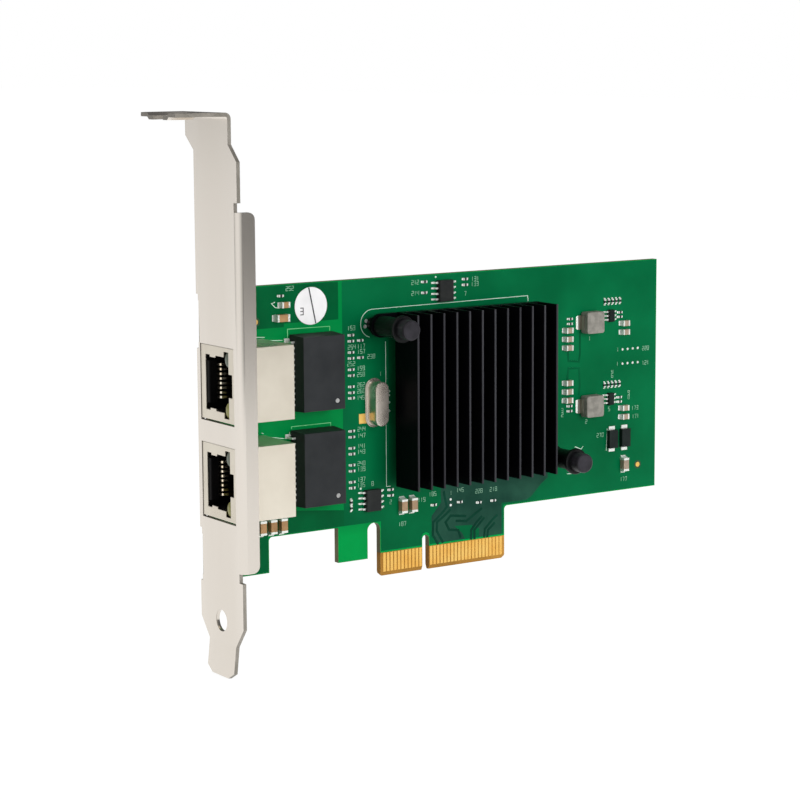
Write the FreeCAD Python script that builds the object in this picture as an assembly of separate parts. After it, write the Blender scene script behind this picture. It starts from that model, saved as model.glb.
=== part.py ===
import FreeCAD, Part
import math
import os

# Dual-port network card on a four-lane card edge, with a full-height bracket.
# Frame: X runs from the bracket along the card, Z is up, and Y = 0 is the component face
# of the board, which looks towards -Y. The origin is the centre of the key notch at the
# tip of the card edge. A "height" below is a distance above the component face.

# Board
BOARD_THICK = 1.57
BOARD_TOP = 68.9
BOARD_RIGHT = 68.7
BOARD_LOWER_EDGE = 12.65
BOARD_EDGE_GAP = 0.06
SIDE_SLOT_TOP = 12.75
LEG_RIGHT = -42.2
LEG_BOTTOM = 4.55
TAB_LEFT = -24.0
TAB_RIGHT = -16.05
CORNER_RADIUS = 0.9

# Card edge
KEY_WIDTH = 1.9
KEY_HEIGHT = 8.25
SHORT_TONGUE = 11.65
LONG_TONGUE = 21.65
TONGUE_BEVEL = 0.45
TONGUE_BEVEL_HEIGHT = 1.0
TONGUE_CHAMFER = 0.6
CONTACT_PITCH = 1.0
CONTACT_WIDTH = 0.7
CONTACT_TOP = 5.4
CONTACT_THICK = 0.05
SHORT_CONTACTS = 11
LONG_CONTACTS = 21
FIRST_CONTACT = 1.5

# Bracket
BRACKET_FACE = -58.2
SHEET = 0.86
BRACKET_WIDTH = 18.42
BEND_RADIUS = 0.5
BRACKET_TOP = 107.1
FOOT_DEPTH = 11.43
UPPER_SHIFT = 3.5
UPPER_FAR_Z = 102.0
UPPER_NEAR_Z = 100.4
SHIFT_RUN = 3.1
STEP_Z = 96.9
STEP_CORNER = 0.5
FLANGE_DEPTH = 4.3
FLANGE_TOP = 86.3
FLANGE_BOTTOM = 8.9
FLANGE_CORNER = 1.6
RELIEF_HEIGHT = 2.0
RELIEF_DEPTH = 1.4
EAR_RELIEF_HEIGHT = 1.4
EAR_RELIEF_DEPTH = 0.8
SHOULDER_Z = -3.2
TONGUE_ROOT_Z = -7.6
TONGUE_FAR = -1.1
TONGUE_NEAR = -12.7
TONGUE_TIP = -14.95
TONGUE_CUT_WIDTH = 2.3
TONGUE_CUT_HEIGHT = 1.4
TONGUE_BEND = 6.0
HOLE_RADIUS = 2.4
HOLE_Y = -6.5
HOLE_Z = -2.8
SLOT_WIDTH = 4.42
SLOT_DEPTH = 5.0
DISH_RADIUS = 5.5
DISH_DEPTH = 0.6
FOOT_CHAMFER = 1.6
EAR_LENGTH = 9.6
EAR_HEIGHT = 9.0
EAR_CORNER = 2.0
UPPER_EAR_Z = 62.0
LOWER_EAR_Z = 10.7
SCREW_X_OFFSET = 5.4
SCREW_RADIUS = 1.45
SCREW_HOLE_GAP = 0.15
SCREW_HEAD_RADIUS = 2.7
SCREW_HEAD_HEIGHT = 1.9
SCREW_CROWN = 0.6
SCREW_PROUD = 0.6

# Jacks
JACK_FACE_INSET = 0.15
JACK_DEPTH = 14.9
JACK_WIDTH = 16.2
JACK_TO_FLANGE = 2.59
JACK_UPPER_Z = 49.15
JACK_PITCH = 21.45
JACK_SHEET = 0.25
JACK_LIP = 0.9
PORT_GAP = 0.1
PORT_BOTTOM_GAP = 0.4
CAVITY_FLOOR = 1.0
CAVITY_WIDTH = 12.0
CAVITY_DEPTH = 11.6
MOUTH_TOP_WALL = 0.9
LATCH_STEP = 1.5
LIGHT_HEIGHT = 2.1
LIGHT_SIDE_WALL = 0.9
LIGHT_WIDTH = 3.4
LIGHT_DOME = 0.55
LATCH_WIDTH = 5.0
FRAME_TAB_WIDTH = 2.4
FRAME_TAB_RISE = 0.45
FRAME_TAB_LIFT = 2.9
SPRING_COUNT = 8
SPRING_PITCH = 1.02
SPRING_WIDTH = 0.5
SPRING_THICK = 0.3
SPRING_NOSE = 2.55
SPRING_BEND = 0.8
SPRING_TIP_HEIGHT = 4.7
SPRING_BACK = 9.6
PIN_WIDTH = 0.45
PIN_HOLE_RADIUS = 0.45
PIN_HOLE_SIDES = 6
PEG_HOLE_RADIUS = 0.95
PIN_PROUD = 1.2
PIN_ROW_FRONT = 8.9
PIN_ROW_STEP = 2.54
PIN_ROW_PITCH = 1.27
LIGHT_PIN_ROW = 13.2
LIGHT_PIN_PITCH = 2.54
LIGHT_PIN_INSET = 0.6
PEG_WIDTH = 1.3
PEG_SETBACK = 7.2

# Magnetics
MAGNETICS_LEFT = -36.3
MAGNETICS_WIDTH = 11.2
MAGNETICS_LENGTH = 17.1
MAGNETICS_HEIGHT = 5.7
MAGNETICS_STANDOFF = 0.3
MAGNETICS_DRAFT = 0.25
MAGNETICS_DOT_RADIUS = 0.65
MAGNETICS_DOT_INSET = 2.2
MAGNETICS_DOT_DEPTH = 0.12
MAGNETICS_LEADS = 12
MAGNETICS_LEAD_PITCH = 1.27
MAGNETICS_LEAD_WIDTH = 0.45
MAGNETICS_LEAD_REACH = 1.5
MAGNETICS_LEAD_EXIT = 2.2

# Controller and heatsink
SINK_LEFT = -10.1
SINK_BOTTOM = 21.2
SINK_SIZE = 40.0
SINK_BASE_HEIGHT = 3.0
SINK_BASE = 2.0
SINK_TOP = 11.7
FIN_COUNT = 12
FIN_ROOT = 1.0
FIN_TIP = 0.55
SINK_EAR_THICK = 1.0
SINK_EAR_RADIUS = 2.7
PIN_OUTSIDE = 4.3
PIN_FROM_CORNER = 2.7
CHIP_SIZE = 17.0
CHIP_HEIGHT = 2.2
CHIP_BASE = 1.1
CHIP_CAP_INSET = 1.2
PUSH_PIN_RADIUS = 1.5
PUSH_PIN_GAP = 0.1
PUSH_PIN_SLEEVE_RADIUS = 2.3
PUSH_PIN_COLLAR_RADIUS = 3.05
PUSH_PIN_COLLAR = 1.2
PUSH_PIN_COLLAR_HEIGHT = 11.9
PUSH_PIN_HEAD_RADIUS = 2.3
PUSH_PIN_TOP = 16.4
PUSH_PIN_PROUD = 3.6
PUSH_PIN_NECK = 0.9
PUSH_PIN_BARB_RADIUS = 1.95
PUSH_PIN_TIP_RADIUS = 0.75
PUSH_PIN_SLIT = 0.6
SHANK_SIDES = 12
SLEEVE_SIDES = 24

# Crystal
CRYSTAL_X = -14.2
CRYSTAL_Z = 40.6
CRYSTAL_WIDTH = 3.6
CRYSTAL_LENGTH = 10.2
CRYSTAL_HEIGHT = 3.9
CRYSTAL_FLANGE = 0.55
CRYSTAL_FLANGE_THICK = 0.45
CRYSTAL_EDGE = 0.5

# Small outline packages
SOIC_WIDTH = 3.9
SOIC_LENGTH = 4.9
SOIC_HEIGHT = 1.5
SOIC_SPAN = 6.0
SOIC_PITCH = 1.27
SOIC_LEAD = 0.42
SOIC_LEAD_ROWS = 4
SOIC_STANDOFF = 0.15
FLASH_X = 5.3
FLASH_Z = 65.0
SWITCH_X = -15.0
SWITCH_Z = 18.2
SOT_WIDTH = 1.6
SOT_LENGTH = 2.9
SOT_HEIGHT = 1.1
SOT_SPAN = 3.2
SOT_PITCH = 0.95
SOT_LEAD = 0.4
SOT_LEAD_ROWS = 3
SOT_X = 54.2
SOT_OFFSET_Z = 1.1
LEAD_THICK = 0.18
PACKAGE_BEVEL = 0.17

# Power section: the lower group repeats the upper one
GROUP_UPPER_Z = 54.85
GROUP_PITCH = 20.3
INDUCTOR_SIZE = 5.2
INDUCTOR_HEIGHT = 2.8
INDUCTOR_X = 47.85
INDUCTOR_STANDOFF = 0.15
INDUCTOR_CHAMFER = 0.35
TERMINAL_WIDTH = 3.4
TERMINAL_THICK = 0.2
TERMINAL_REACH = 0.9
TERMINAL_HEIGHT = 1.5
DIODE_X = 54.8
DIODE_PITCH = 3.9
DIODE_Z = 25.7
DIODE_WIDTH = 2.6
DIODE_LENGTH = 4.4
DIODE_HEIGHT = 1.2
DIODE_STANDOFF = 0.1
DIODE_LEAD = 0.9
DIODE_LEAD_WIDTH = 1.8
DIODE_LEAD_THICK = 0.35

# Chip capacitors and resistors, in three sizes, with metal end caps
SMALL_LENGTH = 1.05
SMALL_WIDTH = 0.55
SMALL_HEIGHT = 0.38
SMALL_CAP = 0.26
MEDIUM_LENGTH = 2.0
MEDIUM_WIDTH = 1.3
MEDIUM_HEIGHT = 1.2
MEDIUM_CAP = 0.4
LARGE_LENGTH = 3.2
LARGE_WIDTH = 1.6
LARGE_HEIGHT = 1.5
LARGE_CAP = 0.5
CAP_PROUD = 0.02

# Small chips: a column beside the magnetics, and rows round the other parts
COLUMN_X = -20.1
COLUMN_SIDE_X = -17.6
COLUMN_UPPER_Z = 56.4
COLUMN_LOWER_Z = 34.55
COLUMN_PAIR = 1.35
COLUMN_PITCH = 3.9
COLUMN_PAIRS = 4
COLUMN_LAST_Z = 42.1
FLASH_CHIPS_LEFT = 5.4
FLASH_CHIPS_RIGHT = 6.0
FLASH_CHIPS_Z = 2.3
FLASH_CHIPS_DROP = 2.5
FLASH_CHIPS_STEP = 1.35
SWITCH_CHIPS_LEFT = 5.5
SWITCH_CHIPS_RIGHT = 5.3
SWITCH_CHIPS_Z = 1.8
SWITCH_CHIPS_STEP = 1.35
COUPLING_PLACES = [(2.3, 15.1), (9.7, 15.0), (15.15, 14.3), (19.35, 14.3)]
LINE_FILTER_X = -38.4
LINE_FILTER_Z = 66.4
FEEDBACK_X = 52.55
FEEDBACK_PITCH = 1.15
FEEDBACK_RISE = 4.55
FEEDBACK_COUNT = 5
SENSE_X = 57.25
SENSE_RISE = 1.7
SENSE_STEP = 1.1
INPUT_CHIP_SHIFT = 0.75
INPUT_CHIP_GAP = 1.5
INPUT_CHIP_STEP = 1.2

# Larger ceramic capacitors
INPUT_X = 41.25
INPUT_PITCH = 2.1
INPUT_COUNT = 3
INPUT_UPPER_DROP = 1.6
INPUT_LOWER_RISE = 6.0
OUTPUT_X = 58.55
OUTPUT_DROP = 1.0
OUTPUT_PITCH = 2.15
OUTPUT_GROUP_PITCH = 20.8
EDGE_PAIR_X = -6.7
EDGE_PAIR_PITCH = 2.8
EDGE_PAIR_Z = 15.95
CORNER_PLACES = [(-37.6, 64.4), (-38.45, 61.55)]
LEG_CAPACITOR_X = -44.3
LEG_CAPACITOR_PITCH = 2.7
LEG_CAPACITOR_DROP = 4.5
LEG_CAPACITOR_COUNT = 3
DIODE_CAPACITOR_X = 58.55
DIODE_CAPACITOR_Z = 19.1

# Round label and fiducial marks
LABEL_X = -30.6
LABEL_Z = 63.7
LABEL_RADIUS = 4.2
LABEL_THICK = 0.1
MARK_RADIUS = 0.6
MARK_SIDES = 16
MARKS = [(-44.8, 61.0), (63.2, 18.5)]

# Sizes that follow from the ones above
BRACKET_FAR = BOARD_THICK + SHEET
BRACKET_NEAR = BRACKET_FAR - BRACKET_WIDTH
BRACKET_INSIDE = BRACKET_FACE + SHEET
BOARD_LEFT = BRACKET_INSIDE + BEND_RADIUS + BOARD_EDGE_GAP
SCREW_X = BRACKET_INSIDE + SCREW_X_OFFSET
JACK_HEIGHT = BRACKET_WIDTH - BOARD_THICK - SHEET - JACK_TO_FLANGE
LATCH_TOP = JACK_HEIGHT - MOUTH_TOP_WALL
LIGHT_TOP = LATCH_TOP - LATCH_STEP
CAVITY_TOP = LIGHT_TOP - LIGHT_HEIGHT
LIGHT_ZONE_WIDTH = JACK_WIDTH - 2 * LIGHT_SIDE_WALL
JACK_FACE = BRACKET_FACE + JACK_FACE_INSET
JACK_BACK = JACK_FACE + JACK_DEPTH
JACK_Z = [JACK_UPPER_Z, JACK_UPPER_Z - JACK_PITCH]
SINK_X = SINK_LEFT + SINK_SIZE / 2
SINK_Z = SINK_BOTTOM + SINK_SIZE / 2
PUSH_PINS = [(SINK_LEFT - PIN_OUTSIDE, SINK_BOTTOM + SINK_SIZE - PIN_FROM_CORNER),
             (SINK_LEFT + SINK_SIZE + PIN_OUTSIDE, SINK_BOTTOM + PIN_FROM_CORNER)]
SCREWS = [(SCREW_X, UPPER_EAR_Z), (SCREW_X, LOWER_EAR_Z)]
GROUP_Z = [GROUP_UPPER_Z, GROUP_UPPER_Z - GROUP_PITCH]
OUTPUT_Z = [GROUP_UPPER_Z, GROUP_UPPER_Z - OUTPUT_GROUP_PITCH]
LEG_CAPACITOR_Z = JACK_Z[1] - JACK_WIDTH / 2 - LEG_CAPACITOR_DROP
INPUT_TOPS = [GROUP_Z[0] - INPUT_UPPER_DROP, GROUP_Z[1] + INPUT_LOWER_RISE]


def vec(x, y, z):
    return FreeCAD.Vector(x, y, z)


def block(x0, x1, z0, z1, h0, h1):
    """A box between two X, two Z and two heights above the component face."""
    return Part.makeBox(x1 - x0, h1 - h0, z1 - z0, vec(x0, -h1, z0))


def post(x, z, radius, h0, h1):
    """A round post square to the board between two heights."""
    return Part.makeCylinder(radius, h1 - h0, vec(x, -h0, z), vec(0, -1, 0))


def taper(x, z, radius0, radius1, h0, h1):
    """A cone square to the board between two heights."""
    return Part.makeCone(radius0, radius1, h1 - h0, vec(x, -h0, z), vec(0, -1, 0))


def outline_xz(points, y):
    """A flat face from (X, Z) corners in the plane Y = y."""
    corners = [vec(x, y, z) for x, z in points]
    return Part.Face(Part.makePolygon(corners + corners[:1]))


def ring_xz(x, z, radius, sides):
    """The (X, Z) corners of a regular outline on a circle."""
    turns = [2 * math.pi * (i + 0.5) / sides for i in range(sides)]
    return [(x + radius * math.cos(turn), z + radius * math.sin(turn)) for turn in turns]


def faceted_post(x, z, radius, h0, h1, sides):
    """A small post square to the board with flat sides, its corners on the radius."""
    return outline_xz(ring_xz(x, z, radius, sides), -h1).extrude(vec(0, h1 - h0, 0))


def faceted_taper(x, z, radius0, radius1, h0, h1, sides):
    """A small taper square to the board with flat sides."""
    wires = []
    for radius, height in ((radius0, h0), (radius1, h1)):
        corners = [vec(a, -height, b) for a, b in ring_xz(x, z, radius, sides)]
        wires.append(Part.makePolygon(corners + corners[:1]))
    return Part.makeLoft(wires, True, True)


def outline_yz(points, x):
    """A flat face from (Y, Z) corners in the plane X = x."""
    corners = [vec(x, y, z) for y, z in points]
    return Part.Face(Part.makePolygon(corners + corners[:1]))


def profile_xh(points, z0, z1):
    """A solid from (X, height) corners, drawn out from Z = z0 to Z = z1."""
    corners = [vec(x, -h, z0) for x, h in points]
    return Part.Face(Part.makePolygon(corners + corners[:1])).extrude(vec(0, 0, z1 - z0))


def edges_along(shape, direction, test):
    """The straight edges parallel to a direction whose centre passes a test."""
    found = []
    for edge in shape.Edges:
        if edge.Curve.TypeId != "Part::GeomLine":
            continue
        run = edge.Vertexes[1].Point.sub(edge.Vertexes[0].Point)
        if run.cross(direction).Length < 1e-6 * run.Length and test(edge.CenterOfMass):
            found.append(edge)
    return found


def save(shape, name):
    shape.exportStep("parts/" + name + ".step")


def save_group(solids, name):
    save(Part.makeCompound(solids), name)


def circuit_board():
    """The board: one outline with a leg, a tab and two card-edge tongues."""
    half_key = KEY_WIDTH / 2
    tongue_left = -half_key - SHORT_TONGUE
    tongue_right = half_key + LONG_TONGUE
    slot_radius = (tongue_left - TAB_RIGHT) / 2
    slot_centre = SIDE_SLOT_TOP - slot_radius
    corners = [
        (BOARD_LEFT, BOARD_TOP), (BOARD_RIGHT, BOARD_TOP),
        (BOARD_RIGHT, BOARD_LOWER_EDGE), (tongue_right, BOARD_LOWER_EDGE),
        (tongue_right, TONGUE_CHAMFER), (tongue_right - TONGUE_CHAMFER, 0),
        (tongue_left + TONGUE_CHAMFER, 0), (tongue_left, TONGUE_CHAMFER),
        (tongue_left, slot_centre), (TAB_RIGHT, slot_centre),
        (TAB_RIGHT, LEG_BOTTOM), (TAB_LEFT, LEG_BOTTOM),
        (TAB_LEFT, BOARD_LOWER_EDGE), (LEG_RIGHT, BOARD_LOWER_EDGE),
        (LEG_RIGHT, LEG_BOTTOM), (BOARD_LEFT, LEG_BOTTOM)]
    board = outline_xz(corners, 0).extrude(vec(0, BOARD_THICK, 0))

    # The slot beside the short tongue has a full round end
    board = board.cut(post(TAB_RIGHT + slot_radius, slot_centre, slot_radius,
                           -BOARD_THICK, 0))

    # Key notch with a round end
    board = board.cut(block(-half_key, half_key, 0, KEY_HEIGHT - half_key, -BOARD_THICK, 0))
    board = board.cut(post(0, KEY_HEIGHT - half_key, half_key, -BOARD_THICK, 0))

    # Both faces of the tongues are bevelled at the tip, as a wedge across the whole edge
    for face, slope in ((0, 1), (BOARD_THICK, -1)):
        wedge = [vec(tongue_left, face, 0), vec(tongue_left, face + slope * TONGUE_BEVEL, 0),
                 vec(tongue_left, face, TONGUE_BEVEL_HEIGHT)]
        wedge_face = Part.Face(Part.makePolygon(wedge + wedge[:1]))
        board = board.cut(wedge_face.extrude(vec(tongue_right - tongue_left, 0, 0)))

    # Inner corners at the leg and beside the long tongue are rounded
    def inner_corner(point):
        beside_leg = abs(point.x - LEG_RIGHT) < 0.01
        beside_tongue = abs(point.x - tongue_right) < 0.01
        return abs(point.z - BOARD_LOWER_EDGE) < 0.01 and (beside_leg or beside_tongue)

    board = board.makeFillet(CORNER_RADIUS, edges_along(board, vec(0, 1, 0), inner_corner))

    # The many pin holes have flat sides, and the fastening holes are round
    drills = [faceted_post(x, z, PIN_HOLE_RADIUS, -BOARD_THICK, 0, PIN_HOLE_SIDES)
              for x, z in jack_pins()]
    drills += [faceted_post(x, z, PEG_HOLE_RADIUS, -BOARD_THICK, 0, PIN_HOLE_SIDES)
               for x, z in jack_pegs()]
    drills += [post(x, z, PUSH_PIN_RADIUS + PUSH_PIN_GAP, -BOARD_THICK, 0)
               for x, z in PUSH_PINS]
    drills += [post(x, z, SCREW_RADIUS + SCREW_HOLE_GAP, -BOARD_THICK, 0)
               for x, z in SCREWS]
    return board.cut(Part.makeCompound(drills))


def edge_contacts(height):
    """Gold pads on one face of the tongues, eleven on the short one, the rest on the long."""
    half = CONTACT_WIDTH / 2
    centres = [-FIRST_CONTACT - CONTACT_PITCH * i for i in range(SHORT_CONTACTS)]
    centres += [FIRST_CONTACT + CONTACT_PITCH * i for i in range(LONG_CONTACTS)]
    lift = height + CONTACT_THICK
    return [block(x - half, x + half, TONGUE_BEVEL_HEIGHT, CONTACT_TOP, height, lift)
            for x in centres]


def bracket_plate():
    """The flat of the bracket: a stepped outline with reliefs at the ends of each bend."""
    near = BRACKET_NEAR
    far = BRACKET_FAR
    upper_near = near + UPPER_SHIFT
    upper_far = far + UPPER_SHIFT
    corners = [
        (upper_far, BRACKET_TOP), (upper_far, UPPER_FAR_Z), (far, UPPER_FAR_Z - SHIFT_RUN),
        (far, SHOULDER_Z), (TONGUE_FAR, TONGUE_ROOT_Z), (TONGUE_NEAR, TONGUE_ROOT_Z),
        (near, SHOULDER_Z), (near, STEP_Z), (near + STEP_CORNER, STEP_Z + STEP_CORNER),
        (upper_near, UPPER_NEAR_Z), (upper_near, BRACKET_TOP)]
    plate = outline_yz(corners, BRACKET_FACE).extrude(vec(SHEET, 0, 0))

    # Reliefs: beside the near flange at both ends, and beside each ear on the far edge
    reliefs = [(near, FLANGE_TOP, RELIEF_DEPTH, RELIEF_HEIGHT),
               (near, FLANGE_BOTTOM - RELIEF_HEIGHT, RELIEF_DEPTH, RELIEF_HEIGHT)]
    for ear_z in (UPPER_EAR_Z, LOWER_EAR_Z):
        for bottom in (ear_z + EAR_HEIGHT / 2, ear_z - EAR_HEIGHT / 2 - EAR_RELIEF_HEIGHT):
            reliefs.append((far, bottom, EAR_RELIEF_DEPTH, EAR_RELIEF_HEIGHT))
    for edge_y, bottom, depth, height in reliefs:
        plate = plate.cut(Part.makeBox(SHEET, 2 * depth, height,
                                       vec(BRACKET_FACE, edge_y - depth, bottom)))
    return plate


def bend_section(outer, edge, inward, length, z0, z1):
    """A right-angle bend of the sheet drawn along Z, with its leg running to +X.

    The leg's outer face is at Y = edge, and inward is +1 or -1 in Y towards the plate."""
    big = BEND_RADIUS + SHEET
    centre_x = outer + big
    centre_y = edge + inward * big
    diagonal = math.sqrt(0.5)
    plate_out = vec(outer, centre_y, z0)
    leg_out = vec(centre_x, edge, z0)
    leg_in = vec(centre_x, edge + inward * SHEET, z0)
    plate_in = vec(outer + SHEET, centre_y, z0)
    arc_out = vec(centre_x - big * diagonal, centre_y - inward * big * diagonal, z0)
    arc_in = vec(centre_x - BEND_RADIUS * diagonal,
                 centre_y - inward * BEND_RADIUS * diagonal, z0)
    tip_out = vec(outer + length, edge, z0)
    tip_in = vec(outer + length, edge + inward * SHEET, z0)
    edges = [
        Part.Arc(plate_out, arc_out, leg_out).toShape(), Part.makeLine(leg_out, tip_out),
        Part.makeLine(tip_out, tip_in), Part.makeLine(tip_in, leg_in),
        Part.Arc(leg_in, arc_in, plate_in).toShape(), Part.makeLine(plate_in, plate_out)]
    return Part.Face(Part.Wire(edges)).extrude(vec(0, 0, z1 - z0))


def bent_leg(edge, inward, length, z0, z1, corner):
    """A bent leg of the sheet with its two free corners rounded."""
    leg = bend_section(BRACKET_FACE, edge, inward, length, z0, z1)
    tip = BRACKET_FACE + length
    free = edges_along(leg, vec(0, 1, 0), lambda point: abs(point.x - tip) < 0.01)
    return leg.makeFillet(corner, free)


def bracket_foot():
    """The top foot, bent outwards, with a dished screw notch open at its outer end."""
    near = BRACKET_NEAR + UPPER_SHIFT
    far = BRACKET_FAR + UPPER_SHIFT
    outer = BRACKET_FACE - FOOT_DEPTH
    big = BEND_RADIUS + SHEET
    under = BRACKET_TOP - SHEET

    # The bend from the plate into the foot, drawn across the width
    diagonal = math.sqrt(0.5)
    centre_x = BRACKET_INSIDE - big
    centre_z = BRACKET_TOP - big
    start = vec(BRACKET_INSIDE, near, centre_z)
    crown = vec(centre_x, near, BRACKET_TOP)
    crown_in = vec(centre_x, near, under)
    start_in = vec(BRACKET_FACE, near, centre_z)
    arc_out = vec(centre_x + big * diagonal, near, centre_z + big * diagonal)
    arc_in = vec(centre_x + BEND_RADIUS * diagonal, near, centre_z + BEND_RADIUS * diagonal)
    edges = [
        Part.Arc(start, arc_out, crown).toShape(), Part.makeLine(crown, crown_in),
        Part.Arc(crown_in, arc_in, start_in).toShape(), Part.makeLine(start_in, start)]
    bend = Part.Face(Part.Wire(edges)).extrude(vec(0, far - near, 0))

    cut = FOOT_CHAMFER
    corners = [vec(centre_x, near, under), vec(outer + cut, near, under),
               vec(outer, near + cut, under), vec(outer, far - cut, under),
               vec(outer + cut, far, under), vec(centre_x, far, under)]
    plan = Part.Face(Part.makePolygon(corners + corners[:1]))
    foot = plan.extrude(vec(0, 0, SHEET))

    # The dish is pressed down round the end of the notch, and the foot trims its plan
    middle = (near + far) / 2
    notch_x = outer + SLOT_DEPTH - SLOT_WIDTH / 2
    small = DISH_RADIUS - DISH_DEPTH
    down = vec(0, 0, -1)
    dish = Part.makeCone(DISH_RADIUS, small, DISH_DEPTH, vec(notch_x, middle, under), down)
    trim = plan.translated(vec(0, 0, -DISH_DEPTH)).extrude(vec(0, 0, DISH_DEPTH))
    hollow = Part.makeCone(DISH_RADIUS, small, DISH_DEPTH,
                           vec(notch_x, middle, BRACKET_TOP), down)
    foot = foot.fuse(dish.common(trim)).cut(hollow)

    depth = SHEET + DISH_DEPTH
    half = SLOT_WIDTH / 2
    notch = Part.makeBox(notch_x - outer, SLOT_WIDTH, depth,
                         vec(outer, middle - half, BRACKET_TOP - depth))
    round_end = Part.makeCylinder(half, depth, vec(notch_x, middle, BRACKET_TOP - depth))
    foot = foot.cut(notch).cut(round_end)
    return bend.fuse(foot)


def bracket_tongue():
    """The lower tongue, leaning outwards, with its tip corners cut off."""
    length = TONGUE_ROOT_Z - TONGUE_TIP
    side = TONGUE_CUT_WIDTH
    rise = TONGUE_CUT_HEIGHT
    corners = [(TONGUE_FAR, 0), (TONGUE_FAR, rise - length), (TONGUE_FAR - side, -length),
               (TONGUE_NEAR + side, -length), (TONGUE_NEAR, rise - length), (TONGUE_NEAR, 0)]
    tongue = outline_yz(corners, BRACKET_FACE).extrude(vec(SHEET, 0, 0))
    tongue.translate(vec(0, 0, TONGUE_ROOT_Z))
    tongue.rotate(vec(BRACKET_INSIDE, 0, TONGUE_ROOT_Z), vec(0, 1, 0), TONGUE_BEND)
    return tongue


def mounting_bracket():
    """The folded bracket: plate, foot, near flange, two far ears, tongue and openings."""
    plate = bracket_plate()
    big = BEND_RADIUS + SHEET
    plate = plate.cut(Part.makeBox(SHEET, BRACKET_WIDTH + UPPER_SHIFT, big,
                                   vec(BRACKET_FACE, BRACKET_NEAR, BRACKET_TOP - big)))

    # The plate gives way where a bend starts
    plate = plate.cut(Part.makeBox(SHEET, big, FLANGE_TOP - FLANGE_BOTTOM,
                                   vec(BRACKET_FACE, BRACKET_NEAR, FLANGE_BOTTOM)))
    legs = [bent_leg(BRACKET_NEAR, 1, FLANGE_DEPTH, FLANGE_BOTTOM, FLANGE_TOP, FLANGE_CORNER)]
    for ear_z in (UPPER_EAR_Z, LOWER_EAR_Z):
        bottom = ear_z - EAR_HEIGHT / 2
        plate = plate.cut(Part.makeBox(SHEET, big, EAR_HEIGHT,
                                       vec(BRACKET_FACE, BRACKET_FAR - big, bottom)))
        legs.append(bent_leg(BRACKET_FAR, -1, EAR_LENGTH, bottom, bottom + EAR_HEIGHT,
                             EAR_CORNER))
    bracket = plate.multiFuse(legs + [bracket_foot(), bracket_tongue()])

    # Openings for the two jacks, the lower locating hole and the ears' screw holes
    far = JACK_LIP + PORT_GAP
    near = -JACK_HEIGHT - PORT_GAP
    for z in JACK_Z:
        bottom = z - JACK_WIDTH / 2 - PORT_BOTTOM_GAP
        top = z + JACK_WIDTH / 2 + PORT_GAP
        bracket = bracket.cut(Part.makeBox(SHEET, far - near, top - bottom,
                                           vec(BRACKET_FACE, near, bottom)))
    bracket = bracket.cut(Part.makeCylinder(HOLE_RADIUS, SHEET,
                                            vec(BRACKET_FACE, HOLE_Y, HOLE_Z), vec(1, 0, 0)))
    for x, z in SCREWS:
        bracket = bracket.cut(post(x, z, SCREW_RADIUS, -BRACKET_FAR, -BOARD_THICK))
    return bracket.removeSplitter()


def bracket_screws():
    """Two pan-head screws through the board into the bracket's ears."""
    screws = []
    for x, z in SCREWS:
        screw = faceted_post(x, z, SCREW_RADIUS, -BRACKET_FAR - SCREW_PROUD, 0, SHANK_SIDES)
        crown = SCREW_HEAD_HEIGHT - SCREW_CROWN
        screw = screw.fuse(post(x, z, SCREW_HEAD_RADIUS, 0, crown))
        screw = screw.fuse(taper(x, z, SCREW_HEAD_RADIUS, SCREW_HEAD_RADIUS - SCREW_CROWN,
                                 crown, SCREW_HEAD_HEIGHT))
        screws.append(screw)
    return screws


def jack_pins(ports=None):
    """Where the contact and light pins of the jacks pass the board, as (X, Z)."""
    places = []
    for z in ports or JACK_Z:
        for i in range(SPRING_COUNT):
            row = i % 2
            x = JACK_FACE + PIN_ROW_FRONT + row * PIN_ROW_STEP
            places.append((x, z + (i - (SPRING_COUNT - 1) / 2) * PIN_ROW_PITCH))
    return places + light_pins(ports)


def light_pins(ports=None):
    places = []
    for z in ports or JACK_Z:
        for side in (-1, 1):
            for step in (0, 1):
                offset = side * (LIGHT_ZONE_WIDTH / 2 - LIGHT_PIN_INSET
                                 - step * LIGHT_PIN_PITCH)
                places.append((JACK_FACE + LIGHT_PIN_ROW, z + offset))
    return places


def jack_pin(x, z):
    """One square pin from the underside of the housing to behind the board."""
    half = PIN_WIDTH / 2
    return block(x - half, x + half, z - half, z + half, -BOARD_THICK - PIN_PROUD, 0)


def jack_pegs(ports=None):
    """Where the shield's two ground pegs pass the board."""
    half = JACK_WIDTH / 2 - JACK_SHEET / 2
    return [(JACK_FACE + PEG_SETBACK, z + side * half) for z in ports or JACK_Z
            for side in (-1, 1)]


def mouth_outline(z, depth):
    """The stepped mouth of a jack: plug opening, light windows and latch channel."""
    x0 = JACK_FACE
    x1 = JACK_FACE + depth
    plug = CAVITY_WIDTH / 2
    lights = LIGHT_ZONE_WIDTH / 2
    latch = LATCH_WIDTH / 2
    opening = block(x0, x1, z - plug, z + plug, CAVITY_FLOOR, CAVITY_TOP)
    opening = opening.fuse(block(x0, x1, z - lights, z + lights, CAVITY_TOP, LIGHT_TOP))
    return opening.fuse(block(x0, x1, z - latch, z + latch, CAVITY_TOP, LATCH_TOP))


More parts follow.
